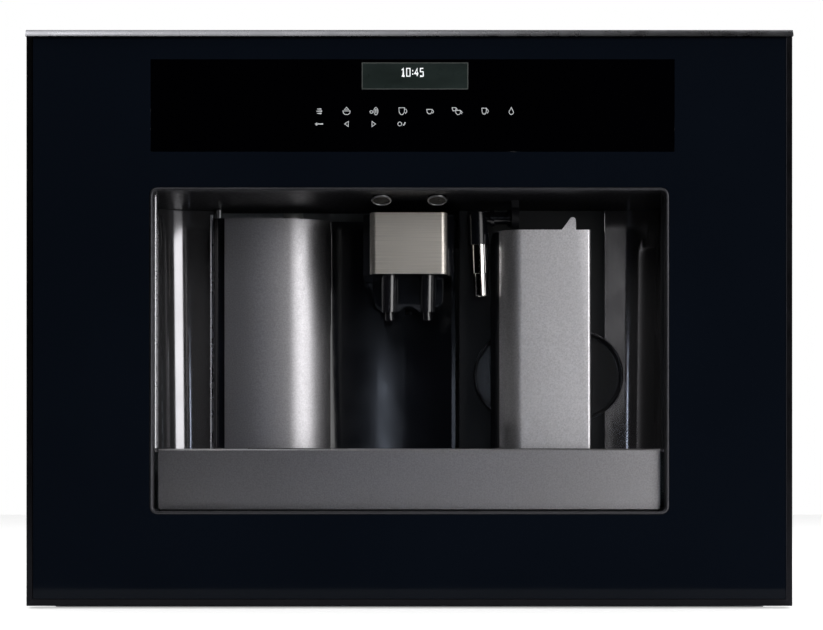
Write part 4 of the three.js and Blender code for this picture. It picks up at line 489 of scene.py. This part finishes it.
def cup(width, height, handle=True):
    """Strokes of a cup seen from the side, round the origin; sizes in millimetres."""
    half = width / 2
    bowl = [(-half, height / 2), (-half * 0.85, -height / 6), (-half * 0.4, -height / 2)]
    bowl += [(half * 0.4, -height / 2), (half * 0.85, -height / 6), (half, height / 2)]
    strokes = [(bowl, True)]
    if handle:
        strokes.append((arc((half, 0), height * 0.32, 80, -80, 6), False))
    return strokes


def moved(strokes, x, z):
    """The same strokes, shifted."""
    return [([(u + x, v + z) for u, v in path], closed) for path, closed in strokes]


def line(*points):
    """An open stroke."""
    return list(points), False


def outline(*points):
    """A closed stroke."""
    return list(points), True


def oval(x, z, radius, steps, squash=1.0):
    """A closed round stroke; squash stretches it in height."""
    return outline(*arc((x, z), radius, 0, 360, steps, squash)[:-1])


PICTOGRAMS = {  # name: place in pixels of the photograph, strokes in millimetres round it
    "standby": (318, 111.2, [line((-1.6, 1.7), (1.6, 1.7)), line((-2.2, 0), (2.2, 0)),
                             line((-1.8, -1.7), (1.8, -1.7))]),
    "rinse": (345.3, 111.2, moved(cup(5.6, 2.8, False), 0, -1.2) + [
        outline((-1.6, 1.3), (0, 3), (1.6, 1.3))]),
    "grind": (372.7, 111.2, [oval(1.5, 0, 1.5, 14, 1.9), line((1.5, -1.6), (1.5, 1.6)),
                             oval(-2, -0.6, 1.1, 10)]),
    "large_cup": (400.5, 111.2, cup(4.6, 5.2)),
    "small_cup": (428.2, 111.6, cup(4.2, 3.4)),
    "two_cups": (455.3, 111.2, moved(cup(4, 3.2), 1.2, -1) + moved(cup(3, 2.4), -1.9, 1.5)),
    "tall_cup": (482.9, 111.2, cup(3.6, 4.6)),
    "hot_water": (510, 111.2, [outline((0, 2.8), *arc((0, -0.8), 1.7, 40, -220, 14))]),
    "back": (318, 124, [line((-3, 0), (3, 0)), line((-1.6, 1), (-3, 0), (-1.6, -1))]),
    "previous": (345.5, 124, [outline((1.2, 2), (-1.6, 0), (1.2, -2))]),
    "next": (372.3, 124, [outline((-1.2, 2), (1.6, 0), (-1.2, -2))]),
    "confirm": (399.8, 124, [oval(-1, 0, 1.5, 14), line((1.4, -0.2), (2.1, -1), (3.2, 1.3))]),
}
DIGITS = {  # strokes in millimetres, six high
    "0": [outline((0, 0), (2.6, 0), (2.6, 6), (0, 6))],
    "1": [line((0.3, 4.6), (1.5, 6), (1.5, 0)), line((0.3, 0), (2.6, 0))],
    "2": [line((0, 6), (2.5, 6), (2.5, 3.2), (0, 3.2), (0, 0), (2.5, 0))],
    "3": [line((0, 6), (2.5, 6), (2.5, 0), (0, 0)), line((0.4, 3.2), (2.5, 3.2))],
    ":": [line((0.3, 4.2), (1, 4.2)), line((0.3, 1.6), (1, 1.6))],
    "4": [line((1.9, 0), (1.9, 6), (0, 2), (2.8, 2))],
    "5": [line((2.5, 6), (0.2, 6), (0.2, 3.4), (2.4, 3.4), (2.4, 0), (0, 0))],
}
CLOCK = [("1", 0), ("0", 4.2), (":", 8.2), ("4", 10.4), ("5", 14.6)]  # each character's place in millimetres


def draw(name, strokes, x, z, width, material="pale_print_with_glow"):
    """Prints strokes on the control glass."""
    build = bmesh.new()
    for path, closed in strokes:
        points = [(x + u * MM, z + v * MM) for u, v in path]
        ribbon(build, points, width, PANEL_FACE, PRINT_DEPTH, closed)
    return piece_of(name, build, "machine", material)


def make_panel():
    """The symbols of the touch keys, and the display with a plain clock."""
    for name, (x, z, strokes) in PICTOGRAMS.items():
        draw("key_" + name, strokes, panel_x(x), panel_z(z), PRINT_WIDTH)
    left, right = panel_x(361), panel_x(466.5)
    high, low = panel_z(63), panel_z(89)
    build = bmesh.new()
    steps = 12
    for i in range(steps):
        x0 = left + (right - left) * i / steps
        x1 = left + (right - left) * (i + 1) / steps
        corners = ((x0, low), (x1, low), (x1, high), (x0, high))
        build.faces.new([build.verts.new((x, PANEL_FACE - WINDOW_RISE, z)) for x, z in corners])
    piece_of("display_window", build, "machine", "display")
    border = [(left, low), (right, low), (right, high), (left, high)]
    build = bmesh.new()
    ribbon(build, border, 0.7 * MM, PANEL_FACE - WINDOW_RISE, PRINT_DEPTH, closed=True)
    piece_of("display_border", build, "machine", "display_edge")
    digits = [stroke for character, start in CLOCK for stroke in moved(DIGITS[character], start, 0)]
    clock = draw("display_clock", digits, panel_x(400), panel_z(76.2), 0.75 * MM, material="bright_print")
    clock.location.y -= 0.03 * MM


make_panel()


def make_top_trim():
    """The slightly rounded metal strip along the fascia's top edge, in a lighter copy of the frame's metal: a
    painted highlight.
    """
    low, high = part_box("fascia_frame")
    bottom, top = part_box("fascia_glass")[1].z + 0.3 * MM, high.z - 0.1 * MM
    start, end = 20, 38  # how far the strip leans back at its lower and upper edge, in degrees
    rise = math.sin(math.radians(end)) - math.sin(math.radians(start))
    radius = (top - bottom) / rise
    middle = (low.y + radius * math.cos(math.radians(end)), top - radius * math.sin(math.radians(end)))
    section = [(low.y, bottom)] + arc(middle, radius, 180 - start, 180 - end, 8)
    reach = high.x - 0.3 * MM
    build = bmesh.new()
    prism(build, [(-reach, y, z) for y, z in section], (-reach, 0, 0), (reach, 0, 0))
    piece_of("top_trim", build, "machine", "trim")


make_top_trim()

# ---------------------------------------------------------------- cup bay details


def make_lamp_ring(side):
    """A steel ring round a lamp, on the slope of the bay's ceiling."""
    low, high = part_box(f"lamp_{side}")
    middle = (low + high) / 2
    radius = (high.x - low.x) / 2
    front, rear = high.z - 0.8 * MM, high.z - 5.8 * MM
    slope = (rear - front) / (2 * radius)
    section = [(radius + r * MM, lift) for r, lift in ((0.6, 0.6), (0.6, -0.3), (-0.5, -0.7), (-0.8, 0.6))]
    steps = 40
    build = bmesh.new()
    rings = []
    for i in range(steps):
        turn = 2 * math.pi * i / steps
        ring = []
        for r, lift in section:
            x = middle.x + r * math.cos(turn)
            y = middle.y + r * math.sin(turn)
            z = (front + rear) / 2 + slope * (y - middle.y) + lift * MM
            ring.append(build.verts.new((x, y, z)))
        rings.append(ring)
    for i in range(steps):
        ring, after = rings[i], rings[(i + 1) % steps]
        for k in range(len(section)):
            other = (k + 1) % len(section)
            build.faces.new([ring[k], after[k], after[other], ring[other]])
    piece_of(f"lamp_ring_{side}", build, "machine", "steel", edge=0.2 * MM)


make_lamp_ring("left")
make_lamp_ring("right")


BEZEL_INSIDE = 198.8 * MM  # half the width of the bay's opening


def make_wall_lip(side, sign, material):
    """A rounded strip that closes the gap between the bezel and the bay's side wall, in the material it is
    given.
    """
    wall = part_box(f"bay_wall_{side}")
    outside = sign * BEZEL_INSIDE
    radius, depth = 1.7 * MM, 7 * MM
    front = wall[0].y + 0.1 * MM
    low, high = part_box("tray_front")[1].z + 0.5 * MM, wall[1].z - 0.3 * MM
    curve = arc((0.0, radius), radius, -90, 0, 8)
    plan = [(outside - sign * x, front + y) for x, y in curve]
    plan += [(outside - sign * radius, front + depth), (outside, front + depth)]
    build = bmesh.new()
    prism(build, [(x, y, low) for x, y in plan], (0, 0, low), (0, 0, high))
    piece_of(f"wall_lip_{side}", build, "machine", material)


# The two lips are one design: the left one in bright metal is a painted highlight, the right one in black is
# painted shade.
make_wall_lip("left", -1, "wall_lip")
make_wall_lip("right", 1, "black_soft")


def make_wall_bead():
    """The slightly raised end of the left wall beside the door, in the brighter lip metal, which is a painted
    highlight on it.
    """
    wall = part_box("bay_wall_left")
    left, right, proud = -165.9 * MM, -163.0 * MM, 0.6 * MM
    face = -85.0 * MM  # y of the wall's face there
    bottom, height = wall[0].z + 0.5 * MM, wall[1].z - wall[0].z - 4 * MM
    steps = 8
    curve = [
        (left + (right - left) * i / steps, face - proud * math.sin(math.pi * i / steps), bottom)
        for i in range(steps + 1)
    ]
    build = bmesh.new()
    prism(build, curve, (0, 0, 0), (0, 0, height))
    piece_of("wall_bead_left", build, "machine", "wall_lip")


def make_shell_edge():
    """A pale grey strip down the door shell's right edge, below the spout: a painted highlight of that edge.
    """
    low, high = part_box("door_shell")
    face = min(v.co.y for v in nodes["door_shell"].data.vertices if v.co.x > high.x - 0.2 * MM)
    left, right = high.x - 1.5 * MM, high.x - 0.05 * MM
    top = 247 * MM  # just under the spout
    plan = [(left, face + 0.5 * MM), (left, face - 0.1 * MM), ((left + right) / 2, face - 0.4 * MM)]
    plan += [(right, face - 0.1 * MM), (right, face + 0.5 * MM)]
    build = bmesh.new()
    prism(build, [(x, y, low.z + 0.5 * MM) for x, y in plan], (0, 0, low.z), (0, 0, top))
    piece_of("shell_edge_highlight", build, "service_door", "pointer_grey_and_highlight")


def make_milk_shade_skins():
    """Black skins of painted shade on the milk container: over the flat right side, where it darkens the
    container's reflection in the bay wall, and over the far left of the roll.
    """
    low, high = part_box("milk_jug_cover")
    bottom, top = low.z + 0.6 * MM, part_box("milk_lid")[1].z + 0.6 * MM
    skin = 0.3 * MM
    build = bmesh.new()
    plan = [(high.x, low.y + 2.5 * MM), (high.x + skin, low.y + 3 * MM)]
    plan += [(high.x + skin, high.y), (high.x, high.y)]
    prism(build, [(x, y, bottom) for x, y in plan], (0, 0, bottom), (0, 0, top))
    piece_of("milk_shade_right", build, "milk_container", "black_soft")
    roll = 22 * MM  # radius of the cover's rounded left corner
    centre = (low.x + roll, low.y + roll)
    outside = [(low.x - skin, high.y)] + arc(centre, roll + skin, 180, 215, 6)
    inside = [(low.x, high.y)] + arc(centre, roll, 180, 215.5, 6)
    build = bmesh.new()
    prism(build, [(x, y, bottom) for x, y in outside + inside[::-1]], (0, 0, bottom), (0, 0, top))
    piece_of("milk_shade_left", build, "milk_container", "black_soft")


make_wall_bead()
make_shell_edge()
make_milk_shade_skins()

# ---------------------------------------------------------------- screws on the casing

SCREW_CROSS = [1.75, 1.5, 0.75, 0.57, 0.75, 1.5] * 4  # recess radii round the head, in millimetres
SCREW_HEAD = [
    (0, 0), (3.4, 0), (3.4, 0.5), (2.9, 1.4), (2.3, 1.9), (SCREW_CROSS, 2.1), (SCREW_CROSS, 1.0), (0, 0.7),
]


def screw(name, place, axis, scale=1.0):
    """A pan head with a cross-shaped recess, seated on the sheet."""
    size = scale * MM
    profile = [
        ([r * size for r in radius] if isinstance(radius, list) else radius * size, height * size)
        for radius, height in SCREW_HEAD
    ]
    build = bmesh.new()
    lathed(build, profile, place, axis)
    piece_of(name, build, "machine", "steel")


def make_screws():
    """Screws that hold the rear panel, the side panels and the top cover."""
    low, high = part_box("rear_panel")
    inset = 12 * MM
    middle_z = (low.z + high.z) / 2
    for i, x in enumerate((low.x + inset, 0.0, high.x - inset)):
        for k, z in enumerate((low.z + inset, middle_z, high.z - inset)):
            if not (i == 1 and k == 1):
                screw(f"rear_screw_{i}_{k}", (x, high.y, z), (0, 1, 0))
    low_z = 90 * MM
    for side, away in (("left", -1), ("right", 1)):
        low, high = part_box(f"side_panel_{side}")
        x = high.x if away > 0 else low.x
        for i, y in enumerate((low.y + inset, high.y - inset)):
            for k, z in enumerate((low_z, middle_z, high.z - inset)):
                screw(f"side_screw_{side}_{i}_{k}", (x, y, z), (away, 0, 0))
    low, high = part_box("top_cover")
    for i, x in enumerate((low.x + inset, high.x - inset)):
        for k, y in enumerate((low.y + inset, (low.y + high.y) / 2, high.y - inset)):
            screw(f"top_screw_{i}_{k}", (x, y, high.z), (0, 0, 1))


make_screws()

# ---------------------------------------------------------------- lids, scales, tank and fixings


def on_top(u, v, w):
    """A place on a face that looks up; w is the height above the origin."""
    return (u, v, w)


def on_front(u, v, w):
    """A place on a face that looks to the front; w is the distance in front of the origin."""
    return (u, -w, v)


def on_right(u, v, w):
    """A place on a face that looks to the right; w is the distance right of the origin."""
    return (w, u, v)


def rounded_loop(u0, u1, v0, v1, radius):
    """Points of a rectangle with rounded corners."""
    corners = ((u1 - radius, v0 + radius, -90), (u1 - radius, v1 - radius, 0),
               (u0 + radius, v1 - radius, 90), (u0 + radius, v0 + radius, 180))
    return [point for u, v, start in corners for point in arc((u, v), radius, start, start + 90, 5)]


def ring(build, outer, inner, place, low, high):
    """Adds a flat ring between two loops of equal length, from one height to another."""
    levels = ((outer, low), (outer, high), (inner, high), (inner, low))
    loops = [[build.verts.new(place(u, v, w)) for u, v in loop] for loop, w in levels]
    for first, second in zip(loops, loops[1:] + loops[:1]):
        for i in range(len(outer)):
            after = (i + 1) % len(outer)
            build.faces.new([first[i], first[after], second[after], second[i]])


def plate(build, loop, place, low, high):
    """Adds a plate with the given loop as its outline."""
    start = Vector(place(0, 0, low))
    prism(build, [place(u, v, low) for u, v in loop], start, Vector(place(0, 0, high)))


def add_rim(name, box, body, material, base, rise, inset, width, radius):
    """A rim with rounded corners inside the outline that a box has from above."""
    low, high = box
    loops = []
    for reach, corner in ((inset, radius), (inset + width, max(radius - width, 0.5 * MM))):
        loops.append(rounded_loop(low.x + reach, high.x - reach, low.y + reach, high.y - reach, corner))
    build = bmesh.new()
    ring(build, *loops, on_top, base, base + rise)
    piece_of(name, build, body, material, edge=0.2 * MM)


LIDS = (  # node, body, half width of the grip, inset of the seal
    ("bean_lid", "bean_cover", 18 * MM, 2 * MM),
    ("funnel_lid", "funnel_cover", 9 * MM, 1 * MM),
)


def make_lids():
    """Rims, grips, seals and hinge leaves of the two lids in the top cover."""
    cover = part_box("top_cover")[1].z
    for node, body, reach, seal_inset in LIDS:
        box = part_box(node)
        low, high = box
        middle = (low.x + high.x) / 2
        add_rim(node + "_rim", box, body, "black_soft", high.z, 0.8 * MM, 3 * MM, 2.2 * MM, 4 * MM)
        build = bmesh.new()
        loop = rounded_loop(middle - reach, middle + reach, low.y + 0.6 * MM, low.y + 6 * MM, 2 * MM)
        plate(build, loop, on_top, high.z, high.z + 2.4 * MM)
        piece_of(node + "_grip", build, body, "black_gloss", edge=0.6 * MM)
        add_rim(node + "_seal", box, "machine", "rubber", cover, 0.2 * MM, seal_inset, 3 * MM, 3 * MM)
        leaf_half, leaf_front, leaf_back = 6 * MM, high.y + 5 * MM, high.y + 14 * MM
        leaf_top, leaf_middle = cover + 0.8 * MM, (leaf_front + leaf_back) / 2
        for i, side in enumerate((-1, 1)):
            x = middle + side * (high.x - low.x) * 0.3
            build = bmesh.new()
            loop = rounded_loop(x - leaf_half, x + leaf_half, leaf_front, leaf_back, 1.5 * MM)
            plate(build, loop, on_top, cover, leaf_top)
            piece_of(f"{node}_hinge_{i}", build, "machine", "steel", edge=0.2 * MM)
            screw(f"{node}_hinge_screw_{i}", (x, leaf_middle, leaf_top), (0, 0, 1), scale=0.6)


def make_knob_scale():
    """Ticks and plain numbers round the grind knob, and a pointer on it."""
    low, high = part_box("grind_knob")
    centre = Vector(((low.x + high.x) / 2, (low.y + high.y) / 2))
    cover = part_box("top_cover")[1].z
    start, step = 210, 30  # angle of the first tick and from tick to tick; every second one has a number
    inner, outer, short = 15.5 * MM, 18.5 * MM, 17.5 * MM
    number_radius, number_size = 22.5 * MM, 0.6 * MM
    ink = 0.12 * MM
    build = bmesh.new()
    for tick in range(9):
        turn = math.radians(start - step * tick)
        along = Vector((math.cos(turn), math.sin(turn)))
        across = Vector((-along.y, along.x)) * 0.6 * MM
        end = short if tick % 2 else outer
        corners = [along * inner - across, along * inner + across, along * end + across, along * end - across]
        prism(build, [(*(centre + c), cover) for c in corners], (0, 0, 0), (0, 0, ink))
    flat = Matrix.Rotation(math.radians(-90), 4, "X")
    piece_of("knob_scale", build, "machine", "black_soft")
    for number in range(5):
        turn = math.radians(start - 2 * step * number)
        build = bmesh.new()
        for path, closed in moved(DIGITS[str(number + 1)], -1.3, -3):
            ribbon(build, [(u * number_size, v * number_size) for u, v in path], 0.8 * MM, 0, ink, closed)
        mark = piece_of(f"knob_number_{number + 1}", build, "machine", "black_soft")
        place = centre + number_radius * Vector((math.cos(turn), math.sin(turn)))
        mark.data.transform(Matrix.Translation((*place, cover)) @ flat)
    build = bmesh.new()
    pointer = [(centre.x - 1 * MM, centre.y + 3 * MM), (centre.x + 1 * MM, centre.y + 3 * MM),
               (centre.x, centre.y + 11.5 * MM)]
    prism(build, [(x, y, high.z) for x, y in pointer], (0, 0, 0), (0, 0, 0.4 * MM))
    piece_of("knob_pointer", build, "grind_setting", "pale_print_with_glow")


def make_dial_pointer():
    """A raised pointer on the froth dial."""
    low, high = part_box("froth_dial")
    x, y = (low.x + high.x) / 2, (low.y + high.y) / 2
    build = bmesh.new()
    loop = rounded_loop(x - 1.2 * MM, x + 1.2 * MM, low.y + 1.5 * MM, y + 5 * MM, 1.1 * MM)
    plate(build, loop, on_top, high.z, high.z + 0.8 * MM)
    piece_of("dial_pointer", build, "froth_control", "pointer_grey_and_highlight", edge=0.2 * MM)


def make_tank_face():
    """Grip ribs and two level lines on the tank's outer face, and a rim on its lid."""
    low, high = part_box("water_tank")
    first_rib, rib_step, rib_width = 9 * MM, 5 * MM, 2 * MM
    for i in range(6):
        y = low.y + first_rib + i * rib_step
        build = bmesh.new()
        loop = rounded_loop(y, y + rib_width, low.z + 55 * MM, high.z - 25 * MM, 0.9 * MM)
        plate(build, loop, on_right, high.x, high.x + 1.2 * MM)
        piece_of(f"tank_rib_{i}", build, "tank", "black_soft", edge=0.4 * MM)
    for name, z in (("high", high.z - 12 * MM), ("low", low.z + 22 * MM)):
        build = bmesh.new()
        loop = rounded_loop(low.y + 60 * MM, high.y - 12 * MM, z, z + 1 * MM, 0.4 * MM)
        plate(build, loop, on_right, high.x, high.x + 0.1 * MM)
        piece_of("tank_line_" + name, build, "tank", "pale_print_with_glow")
    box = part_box("tank_lid")
    add_rim("tank_lid_rim", box, "tank", "black_soft", box[1].z, 0.8 * MM, 4 * MM, 2 * MM, 4 * MM)


def make_niche_seal():
    """Foam strip on the back of the fascia that closes the cabinet niche."""
    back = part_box("fascia_glass")[1].y
    edge_x, low, high = 289 * MM, 10 * MM, 440 * MM
    width, thickness = 9 * MM, 4 * MM
    build = bmesh.new()
    outer = rounded_loop(-edge_x, edge_x, low, high, 4 * MM)
    inner = rounded_loop(-edge_x + width, edge_x - width, low + width, high - width, 2 * MM)
    ring(build, outer, inner, on_front, -back, -back - thickness)
    piece_of("niche_seal", build, "machine", "rubber", edge=0.8 * MM)


RIVET_HEAD = [(0, 0), (2.1, 0), (2.1, 0.3), (1.6, 0.8), (0.8, 1.1), (0, 1.2)]
RIVET_INSET = 6 * MM  # from the sheet's upper edge


def rivets(name, places, axis, body):
    """One piece with a rivet head at each place."""
    build = bmesh.new()
    for place in places:
        lathed(build, [(r * MM, h * MM) for r, h in RIVET_HEAD], place, axis, 16)
    piece_of(name, build, body, "steel")


def make_rivets():
    """Rivets along the side panels, on the cradle's rails and along the rear panel."""
    for side, sign in (("left", -1), ("right", 1)):
        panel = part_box(f"side_panel_{side}")
        x = panel[1].x if sign > 0 else panel[0].x
        z = panel[1].z - RIVET_INSET
        run = [panel[0].y + (32 + 44 * i) * MM for i in range(8)]
        rivets(f"panel_rivets_{side}", [(x, y, z) for y in run], (sign, 0, 0), "machine")
        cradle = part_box("cradle_plate")
        edge = cradle[1].x if sign > 0 else cradle[0].x
        spots = [(edge, y * MM, z * MM) for y in (-140, -20, 100, 160) for z in (36, 54)]
        rivets(f"rail_rivets_{side}", spots, (sign, 0, 0), "cradle")
    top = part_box("top_cover")[0]
    y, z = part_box("rear_panel")[1].y, top.z - RIVET_INSET
    run = [top.x + (70 + 77 * i) * MM for i in range(6)]
    rivets("rear_rivets", [(x, y, z) for x in run], (0, 1, 0), "machine")


def make_inlet_screws():
    """The two screws of the mains inlet."""
    low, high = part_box("power_inlet")
    for i, x in enumerate((low.x + 4 * MM, high.x - 4 * MM)):
        screw(f"inlet_screw_{i}", (x, high.y, (low.z + high.z) / 2), (0, 1, 0), scale=0.6)


def make_brew_tabs():
    """Two pale release tabs on the front of the brew frame."""
    low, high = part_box("brew_frame")
    inset, half_width = 14 * MM, 8 * MM
    for i, x in enumerate((low.x + inset, high.x - inset)):
        build = bmesh.new()
        loop = rounded_loop(x - half_width, x + half_width, high.z - 9 * MM, high.z - 1.5 * MM, 2 * MM)
        plate(build, loop, on_front, -low.y, -low.y + 3 * MM)
        piece_of(f"brew_tab_{i}", build, "machine", "white_plastic", edge=0.8 * MM)


make_lids()
make_knob_scale()
make_dial_pointer()
make_tank_face()
make_niche_seal()
make_rivets()
make_inlet_screws()
make_brew_tabs()

# ---------------------------------------------------------------- camera, light and floor

CAMERA_DISTANCE = 1.5
CAMERA_HEIGHT = 0.107
LENS, SENSOR_WIDTH = 84.8, 36.0
SHIFT_X, SHIFT_Y = 0.0026, 0.189
AIM = Vector((0.0, FRONT, 0.2))  # what the lamps face, inside the bay
LAMP_PLANE = FRONT - 2.2  # y of the two narrow lamps
TOP_HEIGHT = 2.4
WORLD_DARK, WORLD_WHITE = -0.15, 0.5  # Y of a direction where the world is still black and where it is white
FLOOR_HALF_WIDTH, FLOOR_FRONT, FLOOR_BACK = 2.5, -0.45, 3.0
FLOOR_GLOW = 0.45  # added for the camera only, so that the floor looks nearly white


def make_camera():
    """A level camera in front, shifted up so that upright edges stay upright."""
    data = bpy.data.cameras.new("camera")
    data.lens = LENS
    data.sensor_width = SENSOR_WIDTH
    data.shift_x = SHIFT_X
    data.shift_y = SHIFT_Y
    camera = bpy.data.objects.new("camera", data)
    camera.location = (0.0, FRONT - CAMERA_DISTANCE, CAMERA_HEIGHT)
    camera.rotation_euler = (math.radians(90), 0, 0)
    bpy.context.scene.collection.objects.link(camera)
    bpy.context.scene.camera = camera


def softbox(name, place, size, brightness, color=(1.0, 1.0, 1.0)):
    """A lamp that faces AIM; brightness is that of its face, where 1 is white."""
    data = bpy.data.lights.new(name, "AREA")
    data.shape = "RECTANGLE"
    data.size, data.size_y = size
    data.energy = brightness * math.pi * size[0] * size[1]
    data.color = color
    lamp = bpy.data.objects.new(name, data)
    lamp.location = place
    lamp.rotation_euler = (AIM - lamp.location).to_track_quat("-Z", "Y").to_euler()
    lamp.visible_camera = False
    bpy.context.scene.collection.objects.link(lamp)
    return lamp


def around(angle, distance, height):
    """A place round the front of the bay; angle runs from straight in front towards the right."""
    turn = math.radians(angle)
    return (math.sin(turn) * distance, FRONT - math.cos(turn) * distance, height)


def make_world():
    """White for the camera; for everything else white behind the object and black in front of it."""
    world = bpy.data.worlds.new("studio")
    bpy.context.scene.world = world
    world.use_nodes = True
    tree = world.node_tree
    background = tree.nodes["Background"]
    coordinate = tree.nodes.new("ShaderNodeTexCoord")
    split = tree.nodes.new("ShaderNodeSeparateXYZ")
    ramp = tree.nodes.new("ShaderNodeMapRange")
    ramp.inputs["From Min"].default_value = WORLD_DARK
    ramp.inputs["From Max"].default_value = WORLD_WHITE
    path = tree.nodes.new("ShaderNodeLightPath")
    larger = tree.nodes.new("ShaderNodeMath")
    larger.operation = "MAXIMUM"
    tree.links.new(coordinate.outputs["Generated"], split.inputs["Vector"])
    tree.links.new(split.outputs["Y"], ramp.inputs["Value"])
    tree.links.new(ramp.outputs["Result"], larger.inputs[0])
    tree.links.new(path.outputs["Is Camera Ray"], larger.inputs[1])
    tree.links.new(larger.outputs["Value"], background.inputs["Strength"])
    background.inputs["Color"].default_value = (1.0, 1.0, 1.0, 1.0)


def make_floor():
    """A plain pale floor that takes the object's shadow."""
    mesh = bpy.data.meshes.new("floor")
    build = bmesh.new()
    corners = [
        (-FLOOR_HALF_WIDTH, FLOOR_FRONT), (FLOOR_HALF_WIDTH, FLOOR_FRONT),
        (FLOOR_HALF_WIDTH, FLOOR_BACK), (-FLOOR_HALF_WIDTH, FLOOR_BACK),
    ]
    build.faces.new([build.verts.new((x, y, 0.0)) for x, y in corners])
    build.to_mesh(mesh)
    build.free()
    floor = bpy.data.objects.new("floor", mesh)
    bpy.context.scene.collection.objects.link(floor)
    surface = Surface("floor", linear(236, 236, 236), 0.9)
    surface.set("Specular IOR Level", 0.1)
    surface.tint(even(2), 0.01)
    shade = surface.add("ShaderNodeAddShader")
    glow = surface.add("ShaderNodeEmission")
    path = surface.add("ShaderNodeLightPath")
    power = surface.add("ShaderNodeMath", operation="MULTIPLY")
    power.inputs[1].default_value = FLOOR_GLOW
    surface.link(path.outputs["Is Camera Ray"], power.inputs[0])
    surface.link(power.outputs["Value"], glow.inputs["Strength"])
    output = surface.tree.nodes["Material Output"]
    surface.link(surface.shader.outputs["BSDF"], shade.inputs[0])
    surface.link(glow.outputs["Emission"], shade.inputs[1])
    surface.link(shade.outputs["Shader"], output.inputs["Surface"])
    mesh.materials.append(surface.material)


make_camera()
make_world()
make_floor()
softbox("key_right", around(37.5, 2.0, 0.5), (1.1, 1.7), 3.35)
softbox("blue_low", (0.042, LAMP_PLANE, 0.2), (0.045, 0.22), 7, (0.8, 0.9, 1.1))
softbox("near_right", (0.384, LAMP_PLANE, 0.38), (0.024, 0.46), 1.3)
softbox("top_left", (-1.2, -0.9, TOP_HEIGHT), (1.2, 0.9), 4.2)
softbox("top_middle", (-0.4, -0.9, TOP_HEIGHT), (1.0, 0.9), 1.8)
softbox("top_back", (0.7, 0.6, TOP_HEIGHT), (1.8, 1.4), 2.2)
front_fill = softbox("front_fill", (0.0, -2.4, 1.6), (1.5, 1.0), 7)
front_fill.visible_glossy = False

bpy.context.scene.view_settings.view_transform = "Standard"
